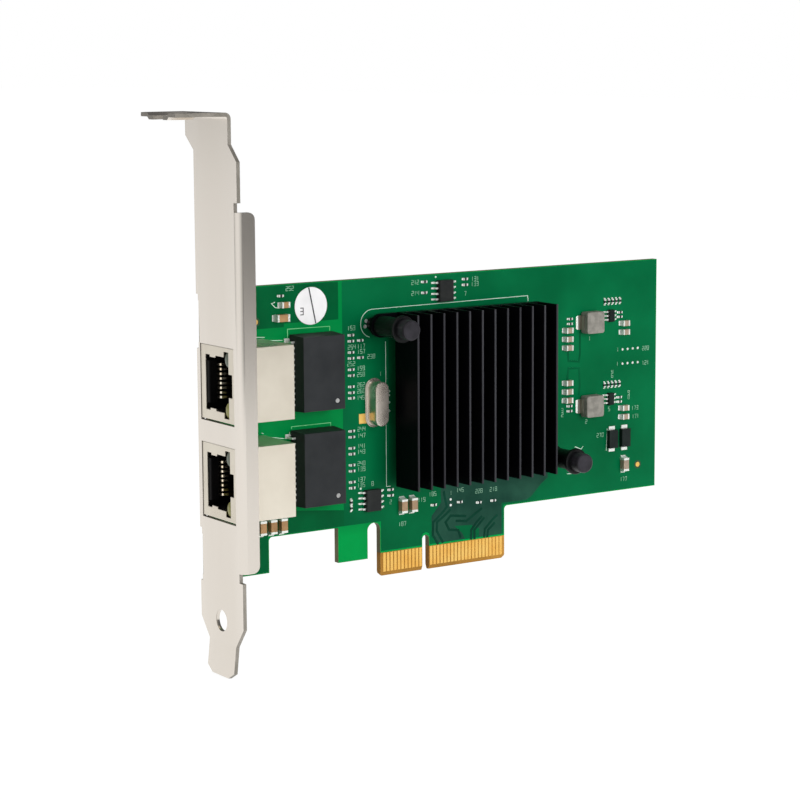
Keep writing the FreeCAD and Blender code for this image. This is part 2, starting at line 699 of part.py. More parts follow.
def jack_shield(z):
    """The stamped shield: five walls, a stepped mouth, a front lip and two ground pegs."""
    half = JACK_WIDTH / 2
    skin = JACK_SHEET
    shield = block(JACK_FACE, JACK_BACK, z - half, z + half, 0, JACK_HEIGHT)
    shield = shield.cut(block(JACK_FACE + skin, JACK_BACK - skin, z - half + skin,
                              z + half - skin, 0, JACK_HEIGHT - skin))
    shield = shield.cut(mouth_outline(z, skin))
    lip = block(JACK_FACE, JACK_FACE + skin, z - half, z + half, -JACK_LIP, 0)
    shield = shield.fuse(lip)

    # Small grounding tabs stand in the mouth at both sides of the plug opening
    for side in (-1, 1):
        outer = z + side * CAVITY_WIDTH / 2
        inner = outer - side * FRAME_TAB_RISE
        low = FRAME_TAB_LIFT
        tab = block(JACK_FACE, JACK_FACE + skin, min(outer, inner), max(outer, inner),
                    low, low + FRAME_TAB_WIDTH)
        shield = shield.fuse(tab)
    for x, peg_z in jack_pegs([z]):
        leg = block(x - PEG_WIDTH / 2, x + PEG_WIDTH / 2, peg_z - skin / 2,
                    peg_z + skin / 2, -BOARD_THICK - PIN_PROUD, 0)
        shield = shield.fuse(leg)
    return shield.removeSplitter()


def jack_housing(z):
    """The moulded insert: fills the shield and holds the plug cavity open."""
    half = JACK_WIDTH / 2 - JACK_SHEET
    front = JACK_FACE + JACK_SHEET
    body = block(front, JACK_BACK - JACK_SHEET, z - half, z + half, 0,
                 JACK_HEIGHT - JACK_SHEET)
    return body.cut(mouth_outline(z, CAVITY_DEPTH)).removeSplitter()


def jack_contacts(z):
    """Eight spring contacts and their board pins.

    Each contact runs forward along the cavity floor, turns back over a round nose and
    rises to the rear."""
    back = JACK_FACE + SPRING_BACK
    centre_x = JACK_FACE + SPRING_NOSE + SPRING_BEND
    centre_height = CAVITY_FLOOR + SPRING_BEND

    def turn(radius):
        angles = [math.radians(angle) for angle in (270, 225, 180, 135, 112)]
        return [(centre_x + radius * math.cos(angle), centre_height + radius * math.sin(angle))
                for angle in angles]

    skin = SPRING_THICK
    outside = [(back, CAVITY_FLOOR)] + turn(SPRING_BEND) + [(back, SPRING_TIP_HEIGHT)]
    inside = [(back, CAVITY_FLOOR + skin)] + turn(SPRING_BEND - skin)
    inside.append((back, SPRING_TIP_HEIGHT - skin))
    profile = outside + inside[::-1]
    half = SPRING_WIDTH / 2
    contacts = []
    for i in range(SPRING_COUNT):
        centre = z + (i - (SPRING_COUNT - 1) / 2) * SPRING_PITCH
        contacts.append(profile_xh(profile, centre - half, centre + half))
    for x, pin_z in jack_pins([z])[:SPRING_COUNT]:
        contacts.append(jack_pin(x, pin_z))
    return contacts


def jack_light(z, side):
    """One light at a side of the latch channel: a lens with a domed face, and two pins."""
    outer = z + side * LIGHT_ZONE_WIDTH / 2
    inner = outer - side * LIGHT_WIDTH
    front = JACK_FACE + JACK_SHEET + LIGHT_DOME
    back = JACK_FACE + CAVITY_DEPTH
    lens = block(front, back, min(outer, inner), max(outer, inner), CAVITY_TOP, LIGHT_TOP)
    middle = (outer + inner) / 2
    mid_height = (CAVITY_TOP + LIGHT_TOP) / 2
    radius = (LIGHT_TOP - CAVITY_TOP) / 2
    dome = Part.makeCylinder(radius, LIGHT_WIDTH, vec(front, -mid_height, middle - LIGHT_WIDTH / 2),
                             vec(0, 0, 1))
    dome = dome.common(block(front - LIGHT_DOME, front, z - JACK_WIDTH / 2, z + JACK_WIDTH / 2,
                             CAVITY_TOP, LIGHT_TOP))
    lens = lens.fuse(dome)
    mine = [place for place in light_pins([z]) if (place[1] - z) * side > 0]
    return [lens] + [jack_pin(x, pin_z) for x, pin_z in mine]


def magnetics_body(z):
    """A moulded block with drafted sides and a round mark at its lower right corner."""
    left = MAGNETICS_LEFT
    right = left + MAGNETICS_WIDTH
    half = MAGNETICS_LENGTH / 2
    draft = MAGNETICS_DRAFT
    base = [vec(left, -MAGNETICS_STANDOFF, z - half), vec(right, -MAGNETICS_STANDOFF, z - half),
            vec(right, -MAGNETICS_STANDOFF, z + half), vec(left, -MAGNETICS_STANDOFF, z + half)]
    top = [vec(left + draft, -MAGNETICS_HEIGHT, z - half + draft),
           vec(right - draft, -MAGNETICS_HEIGHT, z - half + draft),
           vec(right - draft, -MAGNETICS_HEIGHT, z + half - draft),
           vec(left + draft, -MAGNETICS_HEIGHT, z + half - draft)]
    body = Part.makeLoft([Part.makePolygon(base + base[:1]), Part.makePolygon(top + top[:1])],
                         True, True)
    dot_x = right - MAGNETICS_DOT_INSET
    dot_z = z - half + MAGNETICS_DOT_INSET
    return body.cut(faceted_post(dot_x, dot_z, MAGNETICS_DOT_RADIUS,
                                 MAGNETICS_HEIGHT - MAGNETICS_DOT_DEPTH,
                                 MAGNETICS_HEIGHT, MARK_SIDES))


def gull_wing(wall, side, reach, exit_height, thick, z0, z1):
    """A lead that leaves a wall, drops to the board and ends in a flat foot."""
    foot = reach * 0.5
    outer = wall + side * reach
    knee = wall + side * (reach - foot)
    lead = [(wall, exit_height), (knee + side * thick, exit_height),
            (knee + side * thick, thick), (outer, thick), (outer, 0), (knee, 0),
            (knee, exit_height - thick), (wall, exit_height - thick)]
    return profile_xh(lead, z0, z1)


def magnetics_leads(z):
    left = MAGNETICS_LEFT
    right = left + MAGNETICS_WIDTH
    rise = MAGNETICS_LEAD_EXIT - LEAD_THICK - MAGNETICS_STANDOFF
    draft = MAGNETICS_DRAFT * rise / (MAGNETICS_HEIGHT - MAGNETICS_STANDOFF)
    half = MAGNETICS_LEAD_WIDTH / 2
    leads = []
    for i in range(MAGNETICS_LEADS):
        centre = z + (i - (MAGNETICS_LEADS - 1) / 2) * MAGNETICS_LEAD_PITCH
        for wall, side in ((left + draft, -1), (right - draft, 1)):
            leads.append(gull_wing(wall, side, MAGNETICS_LEAD_REACH, MAGNETICS_LEAD_EXIT,
                                   LEAD_THICK, centre - half, centre + half))
    return leads


def controller_chip():
    """The controller under the heatsink: a substrate with a smaller moulded cap."""
    half = CHIP_SIZE / 2
    cap = half - CHIP_CAP_INSET
    base = block(SINK_X - half, SINK_X + half, SINK_Z - half, SINK_Z + half, 0, CHIP_BASE)
    return base.fuse(block(SINK_X - cap, SINK_X + cap, SINK_Z - cap, SINK_Z + cap,
                           CHIP_BASE, CHIP_HEIGHT))


def thermal_pad():
    half = CHIP_SIZE / 2 - CHIP_CAP_INSET
    return block(SINK_X - half, SINK_X + half, SINK_Z - half, SINK_Z + half,
                 CHIP_HEIGHT, SINK_BASE_HEIGHT)


def heatsink():
    """An extruded heatsink: twelve fins on a base, and a thin round ear for each push pin."""
    base_top = SINK_BASE_HEIGHT + SINK_BASE
    ear_top = SINK_BASE_HEIGHT + SINK_EAR_THICK
    sink_top = SINK_BOTTOM + SINK_SIZE
    sink = block(SINK_LEFT, SINK_LEFT + SINK_SIZE, SINK_BOTTOM, sink_top,
                 SINK_BASE_HEIGHT, base_top)
    pitch = (SINK_SIZE - FIN_ROOT) / (FIN_COUNT - 1)
    fins = []
    for i in range(FIN_COUNT):
        middle = SINK_LEFT + FIN_ROOT / 2 + i * pitch
        section = [(middle - FIN_ROOT / 2, base_top), (middle - FIN_TIP / 2, SINK_TOP),
                   (middle + FIN_TIP / 2, SINK_TOP), (middle + FIN_ROOT / 2, base_top)]
        fins.append(profile_xh(section, SINK_BOTTOM, sink_top))
    ears = []
    for (x, z), side in zip(PUSH_PINS, (-1, 1)):
        root = SINK_X + side * SINK_SIZE / 2
        ears.append(block(min(x, root), max(x, root), z - SINK_EAR_RADIUS, z + SINK_EAR_RADIUS,
                          SINK_BASE_HEIGHT, ear_top))
        ears.append(post(x, z, SINK_EAR_RADIUS, SINK_BASE_HEIGHT, ear_top))
    sink = sink.multiFuse(fins + ears)
    for x, z in PUSH_PINS:
        sink = sink.cut(post(x, z, PUSH_PIN_RADIUS + PUSH_PIN_GAP, SINK_BASE_HEIGHT, ear_top))
    return sink.removeSplitter()


def push_pin(x, z):
    """A push pin: head, collar, sleeve on the ear, shank and a split barb behind the board.

    The sleeve, the shank in the hole and the barb have flat sides."""
    sleeve = SINK_BASE_HEIGHT + SINK_EAR_THICK
    collar_top = PUSH_PIN_COLLAR_HEIGHT + PUSH_PIN_COLLAR
    back = -BOARD_THICK
    neck = back - PUSH_PIN_NECK
    tip = back - PUSH_PIN_PROUD
    sides = SHANK_SIDES
    pin = faceted_post(x, z, PUSH_PIN_RADIUS, back, sleeve, sides)
    pin = pin.fuse(faceted_post(x, z, PUSH_PIN_SLEEVE_RADIUS, sleeve, PUSH_PIN_COLLAR_HEIGHT,
                                SLEEVE_SIDES))
    pin = pin.fuse(post(x, z, PUSH_PIN_COLLAR_RADIUS, PUSH_PIN_COLLAR_HEIGHT, collar_top))
    pin = pin.fuse(post(x, z, PUSH_PIN_HEAD_RADIUS, collar_top, PUSH_PIN_TOP))
    pin = pin.fuse(faceted_taper(x, z, PUSH_PIN_TIP_RADIUS, PUSH_PIN_BARB_RADIUS, tip, neck,
                                 sides))
    pin = pin.fuse(faceted_taper(x, z, PUSH_PIN_BARB_RADIUS, PUSH_PIN_RADIUS, neck, back,
                                 sides))
    half = PUSH_PIN_SLIT / 2
    reach = PUSH_PIN_BARB_RADIUS
    return pin.cut(block(x - half, x + half, z - reach, z + reach, tip, back))


def crystal():
    """A metal-can crystal with round ends on a wider flange."""
    def racetrack(width, length, h0, h1):
        radius = width / 2
        reach = length / 2 - radius
        shape = block(CRYSTAL_X - radius, CRYSTAL_X + radius, CRYSTAL_Z - reach,
                      CRYSTAL_Z + reach, h0, h1)
        for end in (-reach, reach):
            shape = shape.fuse(post(CRYSTAL_X, CRYSTAL_Z + end, radius, h0, h1))
        return shape.removeSplitter()

    wide = CRYSTAL_WIDTH + 2 * CRYSTAL_FLANGE
    long = CRYSTAL_LENGTH + 2 * CRYSTAL_FLANGE
    can = racetrack(CRYSTAL_WIDTH, CRYSTAL_LENGTH, CRYSTAL_FLANGE_THICK, CRYSTAL_HEIGHT)
    rim = [edge for edge in can.Edges if abs(edge.CenterOfMass.y + CRYSTAL_HEIGHT) < 0.01]
    can = can.makeChamfer(CRYSTAL_EDGE, rim)
    return can.fuse(racetrack(wide, long, 0, CRYSTAL_FLANGE_THICK))


def package_body(x, z, width, length, standoff, height):
    """A small outline package with a bevelled front edge along each lead side."""
    half = width / 2
    bevel = PACKAGE_BEVEL
    sides = [(x - half, standoff), (x - half, height - bevel), (x - half + bevel, height),
             (x + half - bevel, height), (x + half, height - bevel), (x + half, standoff)]
    return profile_xh(sides, z - length / 2, z + length / 2)


def package_leads(x, z, width, span, pitch, count, lead, exit_height):
    leads = []
    reach = (span - width) / 2
    for i in range(count):
        centre = z + (i - (count - 1) / 2) * pitch
        for side in (-1, 1):
            leads.append(gull_wing(x + side * width / 2, side, reach, exit_height,
                                   LEAD_THICK, centre - lead / 2, centre + lead / 2))
    return leads


def soic_body(x, z):
    return package_body(x, z, SOIC_WIDTH, SOIC_LENGTH, SOIC_STANDOFF, SOIC_HEIGHT)


def soic_leads(x, z):
    return package_leads(x, z, SOIC_WIDTH, SOIC_SPAN, SOIC_PITCH, SOIC_LEAD_ROWS,
                         SOIC_LEAD, SOIC_HEIGHT / 2)


def sot_bodies():
    return [package_body(SOT_X, z + SOT_OFFSET_Z, SOT_WIDTH, SOT_LENGTH, SOIC_STANDOFF,
                         SOT_HEIGHT) for z in GROUP_Z]


def sot_leads():
    leads = []
    for z in GROUP_Z:
        leads += package_leads(SOT_X, z + SOT_OFFSET_Z, SOT_WIDTH, SOT_SPAN, SOT_PITCH,
                               SOT_LEAD_ROWS, SOT_LEAD, SOT_HEIGHT / 2)
    return leads


def power_inductor(z):
    """A moulded power inductor with chamfered upright edges."""
    half = INDUCTOR_SIZE / 2
    body = block(INDUCTOR_X - half, INDUCTOR_X + half, z - half, z + half,
                 INDUCTOR_STANDOFF, INDUCTOR_HEIGHT)
    upright = edges_along(body, vec(0, 1, 0), lambda point: True)
    return body.makeChamfer(INDUCTOR_CHAMFER, upright)


def inductor_leads():
    """Flat terminals that run down each side of an inductor and out along the board."""
    leads = []
    half = TERMINAL_WIDTH / 2
    skin = TERMINAL_THICK
    for z in GROUP_Z:
        for side in (-1, 1):
            wall = INDUCTOR_X + side * INDUCTOR_SIZE / 2
            outer = wall + side * TERMINAL_REACH
            profile = [(wall, TERMINAL_HEIGHT), (wall + side * skin, TERMINAL_HEIGHT),
                       (wall + side * skin, skin), (outer, skin), (outer, 0), (wall, 0)]
            leads.append(profile_xh(profile, z - half, z + half))
    return leads


def diode_places():
    return [DIODE_X, DIODE_X + DIODE_PITCH]


def diodes():
    """Two black diodes side by side, their leads at the top and bottom ends."""
    bodies = []
    half = DIODE_WIDTH / 2
    reach = DIODE_LENGTH / 2
    for x in diode_places():
        bodies.append(block(x - half, x + half, DIODE_Z - reach, DIODE_Z + reach,
                            DIODE_STANDOFF, DIODE_HEIGHT))
    return bodies


def diode_leads():
    leads = []
    half = DIODE_LEAD_WIDTH / 2
    for x in diode_places():
        for side in (-1, 1):
            root = DIODE_Z + side * DIODE_LENGTH / 2
            tip = root + side * DIODE_LEAD
            leads.append(block(x - half, x + half, min(root, tip), max(root, tip), 0,
                               DIODE_LEAD_THICK))
    return leads


def small_chip_places():
    """The smallest chips in their rows, as (X, Z, upright)."""
    places = []

    # Terminations beside the magnetics: pairs in a column for each port
    for top in (COLUMN_UPPER_Z, COLUMN_LOWER_Z):
        for i in range(COLUMN_PAIRS):
            z = top - i * COLUMN_PITCH
            places += [(COLUMN_X, z, False), (COLUMN_X, z - COLUMN_PAIR, False)]
    places.append((COLUMN_X, COLUMN_LAST_Z, False))
    for i in (0, 1):
        places.append((COLUMN_SIDE_X, COLUMN_UPPER_Z - COLUMN_PAIR - i * COLUMN_PITCH, False))
    places.append((LINE_FILTER_X, LINE_FILTER_Z, False))

    # Around the two eight-lead packages
    flash_top = FLASH_Z + FLASH_CHIPS_Z
    left = FLASH_X - FLASH_CHIPS_LEFT
    right = FLASH_X + FLASH_CHIPS_RIGHT
    places += [(left, flash_top, False), (left, flash_top - FLASH_CHIPS_DROP, False)]
    places += [(right, flash_top, False), (right, flash_top - FLASH_CHIPS_STEP, False)]
    switch_top = SWITCH_Z + SWITCH_CHIPS_Z
    left = SWITCH_X - SWITCH_CHIPS_LEFT
    right = SWITCH_X + SWITCH_CHIPS_RIGHT
    places += [(right, switch_top, False), (right, switch_top - SWITCH_CHIPS_STEP, False)]
    places += [(left, SWITCH_Z, True), (left, SWITCH_Z - SWITCH_CHIPS_STEP, True)]

    # Coupling capacitors above the fingers
    places += [(x, z, False) for x, z in COUPLING_PLACES]

    # Feedback and sense parts of each power group
    for z in GROUP_Z:
        places += [(FEEDBACK_X + FEEDBACK_PITCH * i, z + FEEDBACK_RISE, True)
                   for i in range(FEEDBACK_COUNT)]
    for z in OUTPUT_Z:
        places += [(SENSE_X, z + SENSE_RISE, False), (SENSE_X, z + SENSE_RISE - SENSE_STEP, False)]

    # Two more stand above the upper row of input capacitors and below the lower one
    x = INPUT_X + INPUT_CHIP_SHIFT
    upper = INPUT_TOPS[0] + INPUT_CHIP_GAP
    lower = INPUT_TOPS[1] - INPUT_PITCH * (INPUT_COUNT - 1) - INPUT_CHIP_GAP
    places += [(x, upper, False), (x, upper + INPUT_CHIP_STEP, False)]
    places += [(x, lower, False), (x, lower - INPUT_CHIP_STEP, False)]
    return places


def medium_chip_places():
    """Ceramic capacitors in their rows, as (X, Z, upright)."""
    places = []
    for top in INPUT_TOPS:
        places += [(INPUT_X, top - INPUT_PITCH * i, False) for i in range(INPUT_COUNT)]
    for z in OUTPUT_Z:
        top = z - OUTPUT_DROP
        places += [(OUTPUT_X, top, False), (OUTPUT_X, top - OUTPUT_PITCH, False)]
    x, z = CORNER_PLACES[0]
    places.append((x, z, False))
    return places


def large_chip_places():
    """The larger ceramic capacitors, as (X, Z, upright)."""
    x, z = CORNER_PLACES[1]
    places = [(x, z, False), (EDGE_PAIR_X, EDGE_PAIR_Z, True),
              (EDGE_PAIR_X + EDGE_PAIR_PITCH, EDGE_PAIR_Z, True)]
    places += [(LEG_CAPACITOR_X + LEG_CAPACITOR_PITCH * i, LEG_CAPACITOR_Z, True)
               for i in range(LEG_CAPACITOR_COUNT)]
    places.append((DIODE_CAPACITOR_X, DIODE_CAPACITOR_Z, True))
    return places


def chip_part(place, size):
    """One chip part as a body and two end caps."""
    x, z, upright = place
    length, width, height, cap = size
    half = length / 2
    side = width / 2

    def piece(a, b, wide, h0, h1):
        if upright:
            return block(x - wide, x + wide, z + a, z + b, h0, h1)
        return block(x + a, x + b, z - wide, z + wide, h0, h1)

    body = piece(-half + cap, half - cap, side - CAP_PROUD, CAP_PROUD, height - CAP_PROUD)
    ends = [piece(-half, -half + cap, side, 0, height), piece(half - cap, half, side, 0, height)]
    return body, ends


def chip_parts(places, size):
    bodies = []
    ends = []
    for place in places:
        body, caps = chip_part(place, size)
        bodies.append(body)
        ends += caps
    return bodies, ends


def inspection_label():
    return post(LABEL_X, LABEL_Z, LABEL_RADIUS, 0, LABEL_THICK)


def fiducial_marks():
    return [faceted_post(x, z, MARK_RADIUS, 0, CONTACT_THICK, MARK_SIDES) for x, z in MARKS]


def build():
    os.makedirs("parts", exist_ok=True)
    save(circuit_board(), "circuit_board")
    save_group(edge_contacts(0), "edge_contacts_front")
    save_group(edge_contacts(-BOARD_THICK - CONTACT_THICK), "edge_contacts_back")
    save(mounting_bracket(), "mounting_bracket")
    save_group(bracket_screws(), "bracket_screws")

    for name, z in zip(("upper", "lower"), JACK_Z):
        save(jack_shield(z), "jack_shield_" + name)
        save(jack_housing(z), "jack_housing_" + name)
        save_group(jack_contacts(z), "jack_contacts_" + name)
        save_group(jack_light(z, 1), "link_light_" + name)
        save_group(jack_light(z, -1), "activity_light_" + name)
        save(magnetics_body(z), "magnetics_" + name)
        save_group(magnetics_leads(z), "magnetics_leads_" + name)

    save(controller_chip(), "controller_chip")
    save(thermal_pad(), "thermal_pad")
    save(heatsink(), "heatsink")
    save_group([push_pin(x, z) for x, z in PUSH_PINS], "push_pins")
    save(crystal(), "crystal")

    save(soic_body(FLASH_X, FLASH_Z), "flash_chip")
    save_group(soic_leads(FLASH_X, FLASH_Z), "flash_chip_leads")
    save(soic_body(SWITCH_X, SWITCH_Z), "power_switch")
    save_group(soic_leads(SWITCH_X, SWITCH_Z), "power_switch_leads")
    save_group(sot_bodies(), "regulators")
    save_group(sot_leads(), "regulator_leads")
    for name, z in zip(("upper", "lower"), GROUP_Z):
        save(power_inductor(z), "power_inductor_" + name)
    save_group(inductor_leads(), "inductor_leads")
    save_group(diodes(), "diodes")
    save_group(diode_leads(), "diode_leads")

    small_size = (SMALL_LENGTH, SMALL_WIDTH, SMALL_HEIGHT, SMALL_CAP)
    medium_size = (MEDIUM_LENGTH, MEDIUM_WIDTH, MEDIUM_HEIGHT, MEDIUM_CAP)
    large_size = (LARGE_LENGTH, LARGE_WIDTH, LARGE_HEIGHT, LARGE_CAP)
    small, small_ends = chip_parts(small_chip_places(), small_size)
    save_group(small, "chip_resistors")
    save_group(small_ends, "chip_resistor_ends")
    medium, medium_ends = chip_parts(medium_chip_places(), medium_size)
    large, large_ends = chip_parts(large_chip_places(), large_size)
    save_group(medium + large, "ceramic_capacitors")
    save_group(medium_ends + large_ends, "capacitor_ends")
    save(inspection_label(), "inspection_label")
    save_group(fiducial_marks(), "fiducial_marks")


build()
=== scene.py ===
import bmesh
import bpy
import numpy as np
from mathutils import Euler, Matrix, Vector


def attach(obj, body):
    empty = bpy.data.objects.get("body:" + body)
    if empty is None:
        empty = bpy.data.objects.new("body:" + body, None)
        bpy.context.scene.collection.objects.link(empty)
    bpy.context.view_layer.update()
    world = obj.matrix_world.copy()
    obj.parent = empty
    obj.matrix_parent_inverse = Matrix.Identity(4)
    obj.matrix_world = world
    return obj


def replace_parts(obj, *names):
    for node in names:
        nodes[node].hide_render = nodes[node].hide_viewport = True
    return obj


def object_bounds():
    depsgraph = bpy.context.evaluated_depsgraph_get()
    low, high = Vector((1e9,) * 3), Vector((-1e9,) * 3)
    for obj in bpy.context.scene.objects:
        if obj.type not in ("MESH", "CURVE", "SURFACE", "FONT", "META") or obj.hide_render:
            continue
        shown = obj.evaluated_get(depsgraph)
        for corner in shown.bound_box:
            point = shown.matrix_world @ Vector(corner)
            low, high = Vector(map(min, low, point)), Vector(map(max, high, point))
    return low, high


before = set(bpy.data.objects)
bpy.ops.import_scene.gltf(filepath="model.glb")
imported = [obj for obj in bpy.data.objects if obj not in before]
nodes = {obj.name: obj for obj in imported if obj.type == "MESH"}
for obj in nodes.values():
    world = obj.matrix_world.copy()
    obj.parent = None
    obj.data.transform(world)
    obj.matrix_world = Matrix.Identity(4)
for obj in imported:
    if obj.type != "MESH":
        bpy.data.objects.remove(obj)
cad_low, cad_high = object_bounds()


# Circuit board: a glass-epoxy sheet, routed to shape, with a green solder mask on both
# faces. The mask stops short of the card edge, and the sawn edges show the bare sheet.

def colour(red, green, blue):
    """The linear colour of a screen colour from 0 to 255."""
    value = np.array([red, green, blue]) / 255
    linear = np.where(value <= 0.04045, value / 12.92, ((value + 0.055) / 1.055) ** 2.4)
    return (*linear.tolist(), 1.0)


def join(tree, source, target):
    """A link from a node's output to another node's input."""
    tree.links.new(source, target)


def drift_ramp(tree, source, dark, light):
    """A colour that runs from dark to light as a noise goes over its middle range."""
    ramp = tree.nodes.new("ShaderNodeValToRGB")
    ramp.color_ramp.elements[0].position = 0.36
    ramp.color_ramp.elements[0].color = colour(*dark)
    ramp.color_ramp.elements[1].position = 0.64
    ramp.color_ramp.elements[1].color = colour(*light)
    join(tree, source, ramp.inputs["Fac"])
    return ramp.outputs["Color"]


def spread(tree, source, start, end, low=0.0, high=1.0):
    """A value that runs from low to high as the source goes from start to end."""
    node = tree.nodes.new("ShaderNodeMapRange")
    for name, value in (("From Min", start), ("From Max", end), ("To Min", low),
                        ("To Max", high)):
        node.inputs[name].default_value = value
    join(tree, source, node.inputs["Value"])
    return node.outputs["Result"]


def surface(name, dark, light, patch, rough, metal=0.0, bump=0.0, grain=0.4,
            stretch=(1, 1, 1), specular=0.5):
    """A finish that drifts between two colours and two roughnesses over patches of some
    millimetres, with a bump of that depth over a fine grain. Stretch scales the noise along
    X, Y and Z, so a share under one draws its patches out into streaks."""
    material = bpy.data.materials.new(name)
    material.use_nodes = True
    tree = material.node_tree
    shader = tree.nodes["Principled BSDF"]
    shader.inputs["Metallic"].default_value = metal
    shader.inputs["Specular IOR Level"].default_value = specular
    place = tree.nodes.new("ShaderNodeTexCoord")
    scaled = tree.nodes.new("ShaderNodeMapping")
    scaled.inputs["Scale"].default_value = stretch
    join(tree, place.outputs["Object"], scaled.inputs["Vector"])
    drift = tree.nodes.new("ShaderNodeTexNoise")
    drift.inputs["Scale"].default_value = 1000 / patch
    drift.inputs["Detail"].default_value = 4
    join(tree, scaled.outputs["Vector"], drift.inputs["Vector"])
    join(tree, drift_ramp(tree, drift.outputs["Fac"], dark, light), shader.inputs["Base Color"])
    gloss = spread(tree, drift.outputs["Fac"], 0.35, 0.65, *rough)
    join(tree, gloss, shader.inputs["Roughness"])
    if bump:
        fine = tree.nodes.new("ShaderNodeTexNoise")
        fine.inputs["Scale"].default_value = 1000 / grain
        fine.inputs["Detail"].default_value = 2
        join(tree, scaled.outputs["Vector"], fine.inputs["Vector"])
        relief = tree.nodes.new("ShaderNodeBump")
        relief.inputs["Distance"].default_value = bump / 1000
        join(tree, fine.outputs["Fac"], relief.inputs["Height"])
        join(tree, relief.outputs["Normal"], shader.inputs["Normal"])
    return material


def dress(material, *names):
    """Gives CAD nodes their finish."""
    for name in names:
        for slot in nodes[name].material_slots:
            slot.material = material


def combine(tree, operation, first, second):
    """The result of a Math operation on a value and on another value or a number."""
    node = tree.nodes.new("ShaderNodeMath")
    node.operation = operation
    join(tree, first, node.inputs[0])
    if isinstance(second, (int, float)):
        node.inputs[1].default_value = second
    else:
        join(tree, second, node.inputs[1])
    return node.outputs["Value"]


def choose(tree, factor, first, second):
    """The first colour where the factor is nought and the second where it is one."""
    mix = tree.nodes.new("ShaderNodeMix")
    mix.data_type = "RGBA"
    join(tree, factor, mix.inputs["Factor"])
    join(tree, first, mix.inputs["A"])
    join(tree, second, mix.inputs["B"])
    return mix.outputs["Result"]


def drift_of(tree):
    """The noise that the colours of a finish drift by."""
    return next(node for node in tree.nodes if node.type == "TEX_NOISE").outputs["Fac"]


def place_of(tree):
    """X, Y and Z of the Object coordinates of a finish."""
    place = tree.nodes.new("ShaderNodeSeparateXYZ")
    coordinates = next(node for node in tree.nodes if node.type == "TEX_COORD")
    join(tree, coordinates.outputs["Object"], place.inputs[0])
    return place.outputs


def mask_finish(name, dark, light, patch):
    """Solder mask: a smooth coat with a faint grain that mirrors little."""
    return surface(name, dark, light, patch, (0.3, 0.38), bump=0.004, grain=0.9,
                   specular=0.05)


BOARD_BACK = -1.57
MASK_END = 5.5
TONGUES_LEFT, TONGUES_RIGHT = -12.65, 22.7
# where the painted sheen begins on the left, and the heights over which it fades in down the card
SHEEN_LEFT, SHEEN_START, SHEEN_WHOLE = -24.5, 14.5, 10.5


def board_finish():
    """Mask on the two faces, and bare sheet on the sawn edges and below the mask's end.
    Down towards the card edge, right of the magnetics, a lighter green is painted on the mask as
    a sheen of light."""
    material = mask_finish("solder_mask_green", (0, 116, 56), (0, 128, 62), 14)
    tree = material.node_tree
    shader = tree.nodes["Principled BSDF"]
    mask = shader.inputs["Base Color"].links[0].from_socket
    edge = drift_ramp(tree, drift_of(tree), (108, 104, 80), (138, 132, 102))
    bare = drift_ramp(tree, drift_of(tree), (150, 106, 44), (186, 136, 62))
    # painted sheen: the lighter green of the mask down towards the card edge
    clear = drift_ramp(tree, drift_of(tree), (0, 140, 64), (0, 152, 72))
    normal = tree.nodes.new("ShaderNodeSeparateXYZ")
    join(tree, tree.nodes.new("ShaderNodeNewGeometry").outputs["Normal"], normal.inputs[0])
    square = combine(tree, "MULTIPLY", normal.outputs["Y"], normal.outputs["Y"])
    is_face = combine(tree, "GREATER_THAN", square, 0.95)
    place = place_of(tree)
    # how far the painted sheen has taken over, right of its left limit and down from its start
    thin = combine(tree, "MULTIPLY",
                   spread(tree, place["Z"], SHEEN_START / 1000, SHEEN_WHOLE / 1000),
                   combine(tree, "GREATER_THAN", place["X"], SHEEN_LEFT / 1000))
    body = choose(tree, is_face, edge, choose(tree, thin, mask, clear))
    beside = combine(tree, "MAXIMUM",
                     combine(tree, "GREATER_THAN", place["X"], TONGUES_RIGHT / 1000),
                     combine(tree, "LESS_THAN", place["X"], TONGUES_LEFT / 1000))
    covered = combine(tree, "MAXIMUM", beside,
                      combine(tree, "GREATER_THAN", place["Z"], MASK_END / 1000))
    join(tree, choose(tree, covered, bare, body), shader.inputs["Base Color"])
    return material


dress(board_finish(), "circuit_board")


# Copper pours and tracks: foil under the mask, which stands a few hundredths proud and
# shows through it as a darker green. The bare green between is the sheet seen through it.

def solid(name, points, faces, material, slot):
    """An object from points in millimetres and closed faces, riding on the card."""
    mesh = bpy.data.meshes.new(name)
    mesh.from_pydata((np.asarray(points) / 1000).tolist(), [], faces)
    built = bmesh.new()
    built.from_mesh(mesh)
    bmesh.ops.recalc_face_normals(built, faces=built.faces)
    built.to_mesh(mesh)
    built.free()
    mesh.materials.append(material)
    made = bpy.data.objects.new(name, mesh)
    bpy.context.scene.collection.objects.link(made)
    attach(made, "root")
    return made


def gather(parts):
    """Several (points, faces) as one."""
    points = []
    faces = []
    start = 0
    for part_points, part_faces in parts:
        points.append(part_points)
        faces += [[start + corner for corner in face] for face in part_faces]
        start += len(part_points)
    return np.vstack(points), faces


def skin(rings):
    """Closed loops of the same count of points, each joined to the next by a band of
    four-sided faces, with a flat cap on the first and the last."""
    rings = np.asarray(rings, float)
    levels, around = rings.shape[:2]
    here = np.arange((levels - 1) * around).reshape(levels - 1, around)
    beside = np.roll(here, -1, axis=1)
    bands = np.stack([here, beside, beside + around, here + around], axis=-1)
    faces = bands.reshape(-1, 4).tolist()
    faces.append(list(range(around)))
    faces.append(list(range((levels - 1) * around, levels * around)))
    return rings.reshape(-1, 3), faces


def plate(outline, low, high):
    """A flat plate: an (X, Z) outline at one height above the board and again at another."""
    outline = np.array(outline, float)
    levels = [np.column_stack([outline[:, 0], np.full(len(outline), -height), outline[:, 1]])
              for height in (low, high)]
    return skin(levels)


